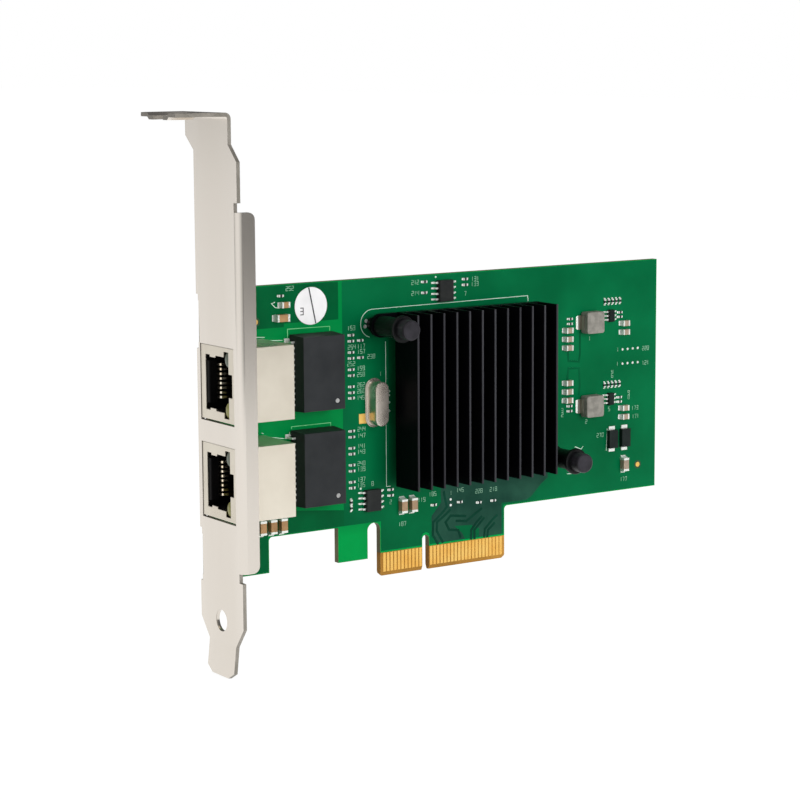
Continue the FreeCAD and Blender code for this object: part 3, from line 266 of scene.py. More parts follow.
def track(line, width, low, high):
    """A strip along an (X, Z) line. At each bend the two sides are moved out along the
    sum of the neighbouring normals, divided by that sum's reach along one of them."""
    line = np.array(line, float)
    run = np.diff(line, axis=0)
    run /= np.linalg.norm(run, axis=1, keepdims=True)
    normal = np.column_stack([-run[:, 1], run[:, 0]])
    before = np.vstack([normal[:1], normal])
    total = before + np.vstack([normal, normal[-1:]])
    offset = total / (total * before).sum(axis=1, keepdims=True) * width / 2
    left = line + offset
    right = line - offset

    def row(side, height):
        return np.column_stack([side[:, 0], np.full(len(side), -height), side[:, 1]])

    return skin(np.stack([row(left, low), row(right, low), row(right, high), row(left, high)],
                         axis=1))


POUR_TOP = 0.02
TRACK_WIDTH, NARROW_WIDTH = 0.6, 0.5
RIGHT_POURS = [
    # from the top edge down to both tongues, round the key notch
    [(-22.4, 68.7), (68.5, 68.7), (68.5, 12.9), (22.5, 12.9), (22.4, 12.7), (22.4, 5.9),
     (1.1, 5.9), (1.1, 8.0), (0.8, 8.6), (0, 8.9), (-0.8, 8.6), (-1.1, 8.0), (-1.1, 5.9),
     (-12.4, 5.9), (-12.4, 12.9), (-22.4, 12.9)],
]
LEFT_POURS_AND_SHADE = [
    # top left corner
    [(-56.6, 68.7), (-23.4, 68.7), (-23.4, 60.2), (-37.6, 60.2), (-37.6, 59.4), (-56.6, 59.4)],
    # behind the bracket, under the jacks' fronts: darker green painted as the shade seen through
    # the gaps below the jacks
    [(-56.8, 59.3), (-54.2, 59.3), (-54.2, 18.7), (-56.8, 18.7)],
    # below the lower jack, down the leg and along the lower edge
    [(-56.6, 18.6), (-39.0, 18.6), (-34.2, 17.8), (-22.4, 16.6), (-22.4, 12.9), (-42.4, 12.9),
     (-42.4, 4.8), (-56.6, 4.8)],
]
GREY_POURS = [
    # copper between the heatsink and the long tongue, with a notch in its foot; its greyer green
    # is a painted sheen of light
    [(35.5, 18.1), (33.5, 16.8), (30.7, 14.2), (29.1, 13.4), (21.8, 13.4), (21.8, 6.0),
     (15.2, 6.0), (15.3, 8.0), (13.0, 9.1), (8.1, 9.4), (10.3, 7.6), (11.2, 6.0),
     (3.1, 6.0), (1.7, 8.6), (1.7, 12.6), (4.4, 15.4), (4.2, 21.0), (31.0, 21.0),
     (35.5, 21.0)],
]
TRACKS = [
    # up from the long tongue, most of them in pairs
    [(3.5, 5.6), (3.3, 5.9), (2.0, 8.0), (2.1, 11.0), (4.3, 12.6), (6.0, 14.2),
     (5.5, 16.1), (5.1, 18.0)],
    [(4.9, 5.8), (3.1, 8.8), (3.2, 10.9), (5.6, 12.4), (7.1, 13.5)],
    [(9.9, 6.4), (9.2, 8.3), (6.6, 8.7), (5.6, 10.6), (7.1, 12.0), (11.5, 11.4)],
    [(8.5, 10.6), (11.5, 10.2), (13.8, 11.5), (16.1, 12.8)],
    [(12.9, 5.6), (13.0, 7.9), (14.5, 9.6), (16.1, 10.9)],
    [(13.9, 5.6), (13.9, 7.8), (15.4, 9.2), (16.8, 10.5)],
    [(16.7, 5.6), (16.9, 7.7), (19.1, 9.7), (20.6, 10.7)],
    [(17.6, 5.6), (17.8, 7.3), (19.8, 8.9)],
]
NARROW_TRACKS = [
    # two hooks between the power inductors
    [(41.4, 49.4), (41.6, 45.8), (44.8, 45.4), (45.1, 47.4), (45.1, 52.7)],
    [(41.3, 41.2), (41.6, 44.0), (44.9, 43.8), (45.1, 39.4), (44.8, 37.3)],
]
pours = [plate(outline, 0, POUR_TOP) for outline in RIGHT_POURS]
left_pours_and_shade = [plate(outline, 0, POUR_TOP) for outline in LEFT_POURS_AND_SHADE]
grey_pours = [plate(outline, 0, 2 * POUR_TOP) for outline in GREY_POURS]
tracks = [track(line, TRACK_WIDTH, 0, 3 * POUR_TOP) for line in TRACKS]
narrow = [track(line, NARROW_WIDTH, 0, 3 * POUR_TOP) for line in NARROW_TRACKS]
for name, finish, dark, light, patch, parts in (
        ("copper_pours", "mask_over_copper", (0, 88, 50), (2, 103, 60), 20, pours),
        # the strip behind the bracket in this set is painted shade, the rest is copper under the
        # mask
        ("left_pours_and_painted_shade", "mask_over_left_copper", (0, 78, 42), (0, 90, 48), 12, left_pours_and_shade),
        # the grey tint of this pour is painted sheen over the copper below the heatsink
        ("copper_pours_painted_sheen", "mask_over_dense_copper", (24, 62, 50), (38, 80, 64), 9, grey_pours),
        ("tracks", "mask_in_gaps", (6, 52, 38), (14, 64, 48), 6, tracks),
        ("narrow_tracks", "mask_in_narrow_gaps", (0, 76, 44), (0, 88, 52), 6, narrow)):
    solid(name, *gather(parts), mask_finish(finish, dark, light, patch), "solder_mask")


# Legend: pale epoxy ink, printed on the mask through a screen as outlines round the parts,
# dots, and plain numbers beside them. Its finest lines let the green through.

# The strokes of each digit: steps right and up for each corner, a slash between strokes
STROKES = {"0": "0020240400", "1": "1014", "2": "042422020020", "3": "04242000/0222",
           "4": "040222/2420", "5": "240402222000", "6": "240400202202", "7": "042410",
           "8": "0020240400/0222", "9": "220204242000"}
DIGIT_WIDTH, DIGIT_STEP, NUMBER_LINE, NUMBER_SIZE = 0.5, 0.78, 0.12, 0.95
INK_LINE, INK_TOP = 0.14, 0.05


def number(text, x, z, size):
    """A plain number centred on a place, each digit drawn as strips on a grid of two
    steps by four. Widths and steps are shares of its size."""
    parts = []
    for place, digit in enumerate(text):
        middle = x + (place - (len(text) - 1) / 2) * size * DIGIT_STEP
        left = middle - size * DIGIT_WIDTH / 2
        for stroke in STROKES[digit].split("/"):
            corners = np.array(list(stroke), float).reshape(-1, 2) / 4 * size
            parts.append(track(corners + (left, z - size / 2), NUMBER_LINE * size, 0, INK_TOP))
    return parts


def arc(x, z, radius, start, end, count):
    """Points at even turns round a centre."""
    turn = np.radians(np.linspace(start, end, count))
    return np.column_stack([x + radius * np.cos(turn), z + radius * np.sin(turn)])


def dot(x, z, radius, low, high):
    """A flat disc as a plate with twelve sides."""
    return plate(arc(x, z, radius, 0, 360, 13)[:-1], low, high)


LEGEND_LINES = [
    [(29.4, 61.8), (29.4, 62.3), (-14.6, 61.9)],
    [(-10.8, 54.3), (-10.8, 20.8), (-9.7, 20.8)],
    [(-36.5, 34.2), (-36.5, 35.9)],
    [(-45.6, 57.7), (-42.6, 57.5)],
    [(-43.3, 57.2), (-42.8, 56.8), (-38.0, 56.5)],
    [(-43.7, 36.3), (-43.2, 36.1)],
    [(-43.2, 35.6), (-42.8, 35.4), (-37.9, 34.5)],
    [(29.5, 61.8), (29.5, 61.0)],
    [(43.6, 24.8), (45.6, 24.0), (46.2, 24.7)],
    [(41.3, 18.4), (44.0, 18.2), (46.8, 18.4)],
    [(-39.8, 65.1), (-40.7, 64.8), (-39.8, 63.9), (-38.7, 63.7)],
    [(53.6, 28.3), (53.3, 22.9)],
    [(-55.6, 57.9), (-50.2, 57.9), (-50.2, 57.2)],
    [(30.9, 20.5), (30.9, 19.9), (29.8, 19.9)],
]
NUMBERS = [
    ("212", -2.6, 67.3), ("214", -2.6, 64.8), ("131", 14.2, 67.2), ("133", 14.1, 66.0),
    ("7", 11.4, 63.9), ("153", -20.0, 58.0), ("254", -19.9, 53.7), ("117", -17.4, 53.7),
    ("157", -17.4, 52.5), ("238", -14.7, 51.2), ("252", -20.1, 49.9), ("159", -17.5, 48.7),
    ("258", -17.5, 47.3), ("1", -12.2, 47.0), ("262", -17.5, 44.9), ("260", -17.5, 43.5),
    ("145", -17.6, 42.0), ("244", -17.5, 34.8), ("147", -17.5, 33.3), ("141", -17.5, 30.9),
    ("143", -17.6, 29.6), ("240", -17.6, 26.9), ("139", -17.6, 25.6), ("137", -17.6, 23.2),
    ("135", -17.7, 21.9), ("8", -14.6, 21.9), ("2", -9.7, 17.1), ("119", -1.1, 16.7),
    ("187", -6.5, 11.6), ("185", 2.0, 17.7), ("1", 7.2, 17.4), ("145", 9.8, 17.8),
    ("228", 15.2, 17.0), ("218", 19.4, 17.0), ("1", 56.7, 47.4), ("1", 56.6, 44.0),
    ("220", 65.4, 47.2), ("121", 65.4, 43.6), ("4", 55.0, 42.1), ("6", 55.0, 41.2),
    ("9", 60.2, 36.6), ("8", 60.2, 35.5), ("173", 62.2, 32.7), ("171", 62.4, 30.6),
    ("3", 39.8, 34.0), ("2", 39.8, 32.9), ("1", 48.0, 50.8), ("2", 47.1, 30.6),
    ("5", 54.1, 33.1), ("270", 51.4, 26.9), ("177", 58.8, 15.3), ("252", -36.0, 67.9),
]
parts = [track(line, INK_LINE, 0, INK_TOP) for line in LEGEND_LINES]
for line in (arc(-14.3, 58.7, 3.2, 95, 255, 18), arc(34.2, 23.9, 3.4, -80, 60, 16)):
    parts.append(track(line, INK_LINE, 0, INK_TOP))
for x, z, radius in ((3.09, 68.23, 0.22), (-17.84, 21.04, 0.25), (-9.9, 42.8, 0.3),
                     (-9.9, 41.9, 0.25), (-9.9, 40.25, 0.3), (-9.9, 38.3, 0.3)):
    parts.append(dot(x, z, radius, 0, INK_TOP))
outlines = [track(line, INK_LINE, 0, INK_TOP)
            for line in ([(-36.7, 56.3), (-36.7, 58.9), (-25.7, 58.8), (-25.7, 57.8)],
                         [(-36.0, 36.5), (-36.0, 37.0), (-25.7, 37.0), (-25.7, 36.0)])]
digits = [stroke for text, x, z in NUMBERS for stroke in number(text, x, z, NUMBER_SIZE)]
for name, finish, dark, light, patch, printed in (
        ("magnetics_outlines", "green_legend_ink", (96, 188, 120), (126, 208, 146), 3, outlines),
        ("legend", "legend_ink", (176, 208, 188), (214, 232, 218), 3, parts),
        ("legend_numbers", "thin_legend_ink", (112, 158, 132), (146, 190, 162), 1.5, digits)):
    ink = surface(finish, dark, light, patch, (0.5, 0.6), bump=0.01, grain=0.3)
    solid(name, *gather(printed), ink, "solder_mask")


# Test points, pads and contacts: bare copper with a tin or gold finish, where the mask is
# open. The two round alignment marks are gold as well, each in a ring of bare sheet.

tin = surface("bright_tin", (222, 226, 220), (242, 245, 240), 2, (0.22, 0.34), metal=0.5,
              bump=0.01, grain=0.5)
gold = surface("gold_on_nickel", (238, 180, 86), (252, 206, 114), 5, (0.2, 0.32), metal=0.85,
               bump=0.004, grain=0.5)
pad_gold = surface("thick_gold_pad", (240, 192, 96), (250, 208, 116), 1.5, (0.3, 0.4), metal=0.4,
                   bump=0.004, grain=0.5)
parts = []
for x, z in ((-16.0, 59.35), (-16.3, 58.1)):
    parts.append(dot(x, z, 0.45, 0, INK_TOP))
for x, z in ((7.1, 15.85), (7.1, 14.5)):
    parts.append(dot(x, z, 0.3, 0, INK_TOP))
for row in (47.4, 43.9):
    for x in np.linspace(58.2, 62.95, 4):
        parts.append(dot(x, row, 0.3, 0, INK_TOP))
solid("bare_pads", *gather(parts), tin, "tinned_lead")
pad = plate([(-18.13, 36.0), (-16.15, 36.0), (-16.15, 38.25), (-18.13, 38.25)], 0, INK_TOP)
solid("crystal_ground_pad", *pad, pad_gold, "gold_plate")
dress(gold, "edge_contacts_front", "edge_contacts_back", "fiducial_marks")
ring_finish = surface("bare_sheet_ring", (16, 60, 34), (24, 70, 40), 3, (0.4, 0.5))
parts = [track(arc(x, z, 0.85, 0, 360, 25), 0.4, 0, 0.03)
         for x, z in ((-44.8, 61.0), (63.2, 18.5))]
solid("fiducial_rings", *gather(parts), ring_finish, "solder_mask")


# Mounting bracket: nickel-plated sheet steel, blanked and folded, with a faint grain along
# its length. It hooks over the slot at its foot and is screwed to the board by two ears.

plated = surface("nickel_plated_steel", (216, 208, 197), (232, 225, 216), 30, (0.2, 0.28),
                 metal=1.0, bump=0.003, grain=0.5, stretch=(1, 1, 0.12))
cut_steel = surface("cut_steel_edge", (140, 135, 126), (164, 158, 149), 4, (0.4, 0.5),
                    metal=0.5, bump=0.01, grain=0.3)
SHEET = 0.86


def softened(name, node, width, material, segments=2, edge_material=None):
    """A copy of a CAD node's mesh with its doubles merged, its flat faces joined and its
    sharp edges rounded by a narrow bevel. It stands for the node. Strips about as wide as
    the sheet is thick, with an end of just that length, can have a material of their own."""
    built = bmesh.new()
    built.from_mesh(nodes[node].data)
    bmesh.ops.remove_doubles(built, verts=built.verts, dist=1e-6)
    bmesh.ops.dissolve_limit(built, angle_limit=0.01, verts=built.verts, edges=built.edges)
    if edge_material:
        for face in built.faces:
            wide = 2000 * face.calc_area() / face.calc_perimeter()
            ends = any(abs(1000 * side.calc_length() - SHEET) < 0.02 for side in face.edges)
            face.material_index = int(ends and 0.5 < wide < 0.9)
    mesh = bpy.data.meshes.new(name)
    built.to_mesh(mesh)
    built.free()
    mesh.materials.append(material)
    if edge_material:
        mesh.materials.append(edge_material)
    made = bpy.data.objects.new(name, mesh)
    bpy.context.scene.collection.objects.link(made)
    bevel = made.modifiers.new("rounded_edges", "BEVEL")
    bevel.width = width / 1000
    bevel.segments = segments
    bevel.limit_method = "ANGLE"
    bevel.loop_slide = False
    bevel.angle_limit = np.radians(40)
    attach(made, "root")
    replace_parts(made, node)
    return made


softened("bracket_sheet", "mounting_bracket", 0.12, plated,
         edge_material=cut_steel)


# Bracket screws: zinc-plated pan heads with a cross recess, driven from the component side
# through the board into the ears.

def turned(x, z, profile, count):
    """A shape turned on a lathe: a (radius, height) profile carried round an axis square
    to the board."""
    profile = np.array(profile, float)
    turn = np.linspace(0, 2 * np.pi, count, endpoint=False)
    radius, height = profile[:, :1], profile[:, 1:]
    rings = np.stack([x + radius * np.cos(turn), -height + 0 * turn, z + radius * np.sin(turn)],
                     axis=-1)
    return skin(rings)


screw_finish = surface("zinc_plated_steel", (168, 170, 172), (196, 198, 198), 2, (0.28, 0.38),
                       metal=1.0, bump=0.006, grain=0.4)
SCREW_PLACES = ((-51.94, 62.0), (-51.94, 10.7))
SHANK = [(1.45, 0.0), (1.45, -2.7), (1.15, -3.03)]
HEAD_RADIUS, HEAD_HEIGHT, HEAD_RIM, HEAD_FALL = 2.7, 1.9, 1.35, 0.22
RECESS_ARM, RECESS_REACH, RECESS_DEPTH = 0.42, 1.55, 0.9
RECESS_SIDE_SLOPE, RECESS_END_SLOPE = 0.16, 0.35


def cross_head(x, z):
    """A pan head on a polar grid. Its height falls with the square of the radius, and
    within the cross it drops by the recess depth with sloping walls. The last two rings
    are the rim and the foot."""
    radius = np.append(np.linspace(0.05, 2.1, 15), [2.4, 2.62, HEAD_RADIUS, HEAD_RADIUS])
    radius = radius[:, None]
    turn = np.linspace(0, 2 * np.pi, 48, endpoint=False)[None, :]
    across = radius * np.cos(turn)
    along = radius * np.sin(turn)
    dome = HEAD_HEIGHT - HEAD_FALL * (radius / HEAD_RADIUS) ** 2
    arm = np.minimum(np.abs(across), np.abs(along))
    reach = np.maximum(np.abs(across), np.abs(along))
    inside = np.clip((RECESS_ARM - arm) / RECESS_SIDE_SLOPE, 0, 1)
    inside = inside * np.clip((RECESS_REACH - reach) / RECESS_END_SLOPE, 0, 1)
    height = dome - RECESS_DEPTH * inside
    height[-2] = HEAD_RIM
    height[-1] = 0.0
    rings = np.stack([x + across, -height, z + along], axis=-1)
    return skin(rings)


parts = []
for x, z in SCREW_PLACES:
    parts.append(cross_head(x, z))
    parts.append(turned(x, z, SHANK, 24))
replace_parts(solid("screws", *gather(parts), screw_finish, "screw_steel"), "bracket_screws")


# Jacks: a folded nickel-silver shield round a black moulded insert, with gold-plated
# spring contacts and two lights behind clear and yellow lenses.

shield_finish = surface("nickel_silver", (220, 211, 194), (236, 228, 212), 16, (0.26, 0.36),
                        metal=0.7, bump=0.003, grain=0.8)
insert_finish = surface("black_insert_plastic", (8, 7, 8), (15, 13, 13), 4, (0.5, 0.6),
                        bump=0.01, grain=0.3, specular=0.12)


def solid_boxes(node):
    """The box of each separate solid of a node, in millimetres. Corners in the same place
    are one corner, and each takes the lowest label in its triangles until none changes."""
    mesh = nodes[node].data
    places = np.empty(len(mesh.vertices) * 3)
    mesh.vertices.foreach_get("co", places)
    corners = np.empty(len(mesh.loops), int)
    mesh.loops.foreach_get("vertex_index", corners)
    places, same = np.unique(np.round(places.reshape(-1, 3) * 1000, 3), axis=0,
                             return_inverse=True)
    triangles = same.ravel()[corners].reshape(-1, 3)
    label = np.arange(len(places))
    changed = True
    while changed:
        lowest = label.copy()
        np.minimum.at(lowest, triangles.ravel(), np.repeat(label[triangles].min(axis=1), 3))
        changed = (lowest != label).any()
        label = lowest
    return [np.array([places[label == one].min(axis=0), places[label == one].max(axis=0)])
            for one in np.unique(label)]


def change_along(material, axis, start, end, dark, light):
    """From one place in millimetres on an axis to another, the colour gives way to a new
    one, which drifts over the same patches."""
    tree = material.node_tree
    shader = tree.nodes["Principled BSDF"]
    first = shader.inputs["Base Color"].links[0].from_socket
    second = drift_ramp(tree, drift_of(tree), dark, light)
    part = spread(tree, place_of(tree)[axis], start / 1000, end / 1000)
    join(tree, choose(tree, part, first, second), shader.inputs["Base Color"])
    return material


def comb(z):
    """The moulded ridge in front of the springs: its section carried along Z."""
    section = [(-57.75, 0.98), (-57.75, 1.85), (-57.7, 2.0), (-57.55, 2.06), (-55.85, 2.06),
               (-55.72, 2.0), (-55.65, 1.85), (-55.65, 0.98)]
    return skin([[(x, -height, end) for x, height in section] for end in (z - 4.6, z + 4.6)])


LENS_BACK, LENS_FRONT, LENS_DOME = -46.5, -57.2, 0.72
LENS_HEIGHT, LENS_HALF_TALL, LENS_HALF_WIDE, LENS_SHIFT = 9.8, 1.2, 1.72, 5.5


def lens(z):
    """A light's clear moulding: an elliptic bar with a domed end, whose half axes shrink
    with the cosine of the turn."""
    turn = np.linspace(0, 2 * np.pi, 32, endpoint=False)
    rings = []
    dome = [(LENS_FRONT - LENS_DOME * np.sin(t), np.cos(t))
            for t in np.radians([0, 20, 40, 55, 70, 82])]
    for place, scale in [(LENS_BACK, 1.0)] + dome:
        rings.append(np.column_stack([np.full(32, place),
                                      -LENS_HEIGHT + LENS_HALF_TALL * scale * np.sin(turn),
                                      z + LENS_HALF_WIDE * scale * np.cos(turn)]))
    return skin(rings)


def light_pin(low, high):
    """A square pin between two corners."""
    return plate([(low[0], low[2]), (high[0], low[2]), (high[0], high[2]), (low[0], high[2])],
                 -high[1], -low[1])


# Behind their tips the springs' gold gives way to dark brown: painted shade deep inside the
# jack's mouth.
spring_finish = change_along(surface("spring_gold_painted_shade", (250, 232, 200), (255, 246, 224), 2,
                                     (0.16, 0.26), metal=1.0),
                             "X", -54.3, -53.8, (52, 42, 28), (74, 60, 38))
link_lens = surface("clear_lens", (112, 122, 106), (134, 142, 126), 2, (0.14, 0.22))
activity_lens = surface("yellow_lens", (160, 156, 84), (182, 178, 104), 2, (0.14, 0.22))
PORTS = (("upper", 49.15), ("lower", 27.7))
# A solid that reaches further back than this is a pin through the board
PAST_BOARD = 1.6
for port, centre in PORTS:
    softened("shield_" + port, "jack_shield_" + port, 0.06, shield_finish)
    dress(insert_finish, "jack_housing_" + port)
    dress(spring_finish, "jack_contacts_" + port)
    solid("contact_comb_" + port, *comb(centre), insert_finish, "jack_plastic")
    for light, side, finish, slot in (("link_light_", 1, link_lens, "clear_lens"),
                                      ("activity_light_", -1, activity_lens, "yellow_lens")):
        parts = [lens(centre + side * LENS_SHIFT)]
        parts += [light_pin(low, high) for low, high in solid_boxes(light + port)
                  if high[1] > PAST_BOARD]
        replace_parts(solid(light + "lens_" + port, *gather(parts), finish, slot), light + port)


# Network magnetics: black moulded blocks with a round corner mark and gull-wing leads
# down both long sides, soldered to the board.

moulded = surface("black_moulding", (36, 38, 40), (44, 46, 48), 6, (0.5, 0.6), bump=0.012,
                  grain=0.25, specular=0.2)
paint = surface("pin_one_paint", (140, 141, 140), (164, 165, 163), 1, (0.5, 0.6))
MAGNETICS_TOP = 5.57
MARK_X, MARK_DROP, MARK_RADIUS, MARK_THICK = -27.3, 6.35, 0.52, 0.04
parts = []
for port, centre in PORTS:
    softened("magnetics_block_" + port, "magnetics_" + port, 0.25, moulded,
             segments=3)
    dress(tin, "magnetics_leads_" + port)
    parts.append(dot(MARK_X, centre - MARK_DROP, MARK_RADIUS, MAGNETICS_TOP,
                     MAGNETICS_TOP + MARK_THICK))
solid("pin_one_marks", *gather(parts), paint, "mould_compound")


# Controller: a moulded chip under the heatsink, soldered flat to the board. A grey silicone
# pad is pressed between the two.

dress(moulded, "controller_chip")
dress(surface("silicone_pad", (140, 140, 146), (160, 160, 166), 3, (0.6, 0.7), bump=0.01),
      "thermal_pad")


# Heatsink: extruded aluminium, anodised black, with twelve straight fins. A thin ear at
# two opposite corners takes a push pin.

SINK_LEFT, SINK_SIZE, SINK_BOTTOM = -10.1, 40.0, 21.2
SINK_BASE_LOW, SINK_BASE_HIGH, SINK_TOP = 3.0, 5.0, 11.7
FIN_COUNT, FIN_ROOT, FIN_TIP, TIP_ROUND = 12, 1.0, 0.55, 0.2
EAR_RADIUS, EAR_TOP = 2.7, 4.0
PIN_PLACES = ((-14.4, 58.5), (34.2, 23.9))
fin_pitch = (SINK_SIZE - FIN_ROOT) / (FIN_COUNT - 1)


def fin_section(middle):
    """Up one sloping side of a fin, over its rounded tip and down the other side."""
    turn = np.radians(np.linspace(180, 0, 7))
    tip = np.column_stack([middle + FIN_TIP / 2 * np.cos(turn),
                           SINK_TOP - TIP_ROUND + TIP_ROUND * np.sin(turn)])
    return np.vstack([[(middle - FIN_ROOT / 2, SINK_BASE_HIGH)], tip,
                      [(middle + FIN_ROOT / 2, SINK_BASE_HIGH)]])


def fins():
    """The section of base and fins, carried along Z."""
    outline = np.vstack([fin_section(SINK_LEFT + FIN_ROOT / 2 + i * fin_pitch)
                         for i in range(FIN_COUNT)]
                        + [[(SINK_LEFT + SINK_SIZE, SINK_BASE_LOW), (SINK_LEFT, SINK_BASE_LOW)]])
    rings = [np.column_stack([outline[:, 0], -outline[:, 1], np.full(len(outline), z)])
             for z in (SINK_BOTTOM, SINK_BOTTOM + SINK_SIZE)]
    return skin(rings)


def ear(x, z, root):
    """A flat tongue from the base to a round end about the push pin."""
    side = 1 if root > x else -1
    turn = np.radians(np.linspace(90, 270, 13))
    end = np.column_stack([x + side * EAR_RADIUS * np.cos(turn), z + EAR_RADIUS * np.sin(turn)])
    return plate(np.vstack([end, [(root, z - EAR_RADIUS), (root, z + EAR_RADIUS)]]),
                 SINK_BASE_LOW, EAR_TOP)


anodised = surface("black_anodised", (3, 3, 6), (8, 7, 11), 9, (0.4, 0.5), bump=0.006,
                   grain=0.5, stretch=(1, 1, 0.1), specular=0.05)
# The rounded top ends of the fins are painted a lighter grey: a painted highlight where their
# edges catch the light.
change_along(anodised, "Y", -11.45, -11.65, (44, 44, 48), (62, 62, 66))
parts = [fins(), ear(*PIN_PLACES[0], SINK_LEFT + 1),
         ear(*PIN_PLACES[1], SINK_LEFT + SINK_SIZE - 1)]
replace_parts(solid("heatsink_extrusion", *gather(parts), anodised, "anodised"), "heatsink")


# Push pins: black nylon, moulded in one piece, with a round head on a collar and a split
# barb that snaps through the board and holds the heatsink down.

nylon = surface("black_nylon", (6, 8, 8), (11, 13, 13), 3, (0.34, 0.44), bump=0.008,
                specular=0.2)
# From the collar up the pins are painted a lighter grey: painted light on the heads, which are
# the same black nylon as the rest.
change_along(nylon, "Y", -13.0, -14.5, (36, 35, 39), (50, 48, 54))


def split_barb(x, z, side):
    """Half of the barb: rings of half circles, held clear of the slit in the middle."""
    turn = np.linspace(-np.pi / 2, np.pi / 2, 15)
    levels = [(1.5, BOARD_BACK), (1.95, -2.47), (1.7, -3.1), (1.2, -4.2), (0.75, -5.17)]
    rings = [np.column_stack([x + side * np.maximum(radius * np.cos(turn), 0.3),
                              np.full(15, -height), z + radius * np.sin(turn)])
             for radius, height in levels]
    return skin(rings)


pin_profile = [(1.5, BOARD_BACK), (1.5, EAR_TOP), (2.3, 4.02), (2.3, 11.9), (2.8, 11.9),
               (3.05, 12.1), (3.05, 12.85), (2.85, 13.1), (2.3, 13.12), (2.3, 15.85),
               (2.18, 16.2), (1.9, 16.38), (1.4, 16.4)]
parts = []
for x, z in PIN_PLACES:
    parts.append(turned(x, z, pin_profile, 40))
    parts += [split_barb(x, z, side) for side in (-1, 1)]
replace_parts(solid("nylon_pins", *gather(parts), nylon, "black_nylon"), "push_pins")


# Crystal: a drawn nickel-plated can, welded to its base round a thin flange. It stands
# flat on the board.

def stadium(x, z, radius, reach, height):
    """A loop of two half circles about the ends of a straight line along Z."""
    turn = np.linspace(0, np.pi, 14)
    upper = np.column_stack([x + radius * np.cos(turn), z + reach + radius * np.sin(turn)])
    lower = np.column_stack([x - radius * np.cos(turn), z - reach - radius * np.sin(turn)])
    loop = np.vstack([upper, lower])
    return np.column_stack([loop[:, 0], np.full(len(loop), -height), loop[:, 1]])


CRYSTAL_X, CRYSTAL_Z, CRYSTAL_REACH = -14.2, 40.6, 3.3
can_finish = surface("drawn_nickel_can", (206, 196, 184), (226, 217, 205), 6, (0.22, 0.32),
                     metal=0.85, bump=0.0006, grain=0.6)
profile = [(2.35, 0.0), (2.35, 0.36), (2.26, 0.45), (1.95, 0.47), (1.82, 0.6), (1.8, 0.9),
           (1.8, 3.55), (1.76, 3.7), (1.68, 3.82), (1.58, 3.88), (1.5, 3.9), (1.42, 3.9)]
rings = [stadium(CRYSTAL_X, CRYSTAL_Z, radius, CRYSTAL_REACH, height)
         for radius, height in profile]
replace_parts(solid("crystal_can", *skin(rings), can_finish, "crystal_can"), "crystal")


# Small packages: black moulded bodies with tinned leads, soldered flat on their pads. The
# two power inductors are grey moulded blocks over bent terminals.

package = surface("package_moulding", (32, 34, 34), (42, 44, 43), 3, (0.5, 0.6), bump=0.008,
                  grain=0.2, specular=0.2)
dress(package, "flash_chip", "power_switch")
small_package = surface("small_package_moulding", (15, 23, 22), (24, 32, 30), 2, (0.4, 0.5),
                        bump=0.008, grain=0.2, specular=0.2)
dress(small_package, "regulators", "diodes")
dress(tin, "flash_chip_leads", "power_switch_leads", "regulator_leads", "diode_leads")
dress(surface("dull_tin", (126, 122, 110), (158, 154, 142), 0.8, (0.3, 0.42), metal=0.6,
              stretch=(3, 1, 0.2)), "inductor_leads")
inductor_finish = surface("inductor_moulding", (118, 115, 108), (140, 137, 129), 1.2,
                          (0.5, 0.62), bump=0.02, grain=0.25)
for group in ("upper", "lower"):
    softened("inductor_" + group, "power_inductor_" + group, 0.2, inductor_finish)


# Chip resistors and capacitors: ceramic bodies with tinned ends. A solder fillet climbs
# each end, and each lead of the larger parts.

dress(surface("resistor_glass", (26, 26, 28), (40, 40, 44), 1, (0.3, 0.4)), "chip_resistors")
ceramic = surface("tan_ceramic", (148, 112, 72), (170, 132, 90), 4, (0.4, 0.5), bump=0.006,
                  grain=0.2)
change_along(ceramic, "X", -35, 30, (138, 122, 104), (158, 142, 124))
dress(ceramic, "ceramic_capacitors")
dress(tin, "chip_resistor_ends", "capacitor_ends")


def fillet(x, z, toward, wide, high, reach):
    """A solder fillet against a wall: its height falls as the square of what is left of
    its reach, and its sides draw in towards the foot."""
    t = np.linspace(0, 1, 6)
    height = 0.03 + high * (1 - t) ** 2
    half = wide / 2 * (1 - 0.15 * t)
    dx, dz = toward
    rings = []
    for step, up, side in zip(t * reach, height, half):
        a = (x + dx * step - dz * side, z + dz * step + dx * side)
        b = (x + dx * step + dz * side, z + dz * step - dx * side)
        rings.append([(a[0], 0, a[1]), (b[0], 0, b[1]), (b[0], -up, b[1]), (a[0], -up, a[1])])
    return skin(rings)


def end_fillets(ends, bodies, reach, most=9.0):
    """One fillet at the outer wall of each end cap or lead, away from its body."""
    parts = []
    middles = np.array([body.mean(axis=0) for node in bodies for body in solid_boxes(node)])
    for low, high in solid_boxes(ends):
        centre = (low + high) / 2
        body = middles[np.linalg.norm(middles - centre, axis=1).argmin()]
        away = centre - body
        tall = min(-low[1] * 0.8, most)
        if abs(away[0]) > abs(away[2]):
            side = np.sign(away[0])
            wall = high[0] if side > 0 else low[0]
            parts.append(fillet(wall, centre[2], (side, 0), high[2] - low[2], tall, reach))
        else:
            side = np.sign(away[2])
            wall = high[2] if side > 0 else low[2]
            parts.append(fillet(centre[0], wall, (0, side), high[0] - low[0], tall, reach))
    return parts


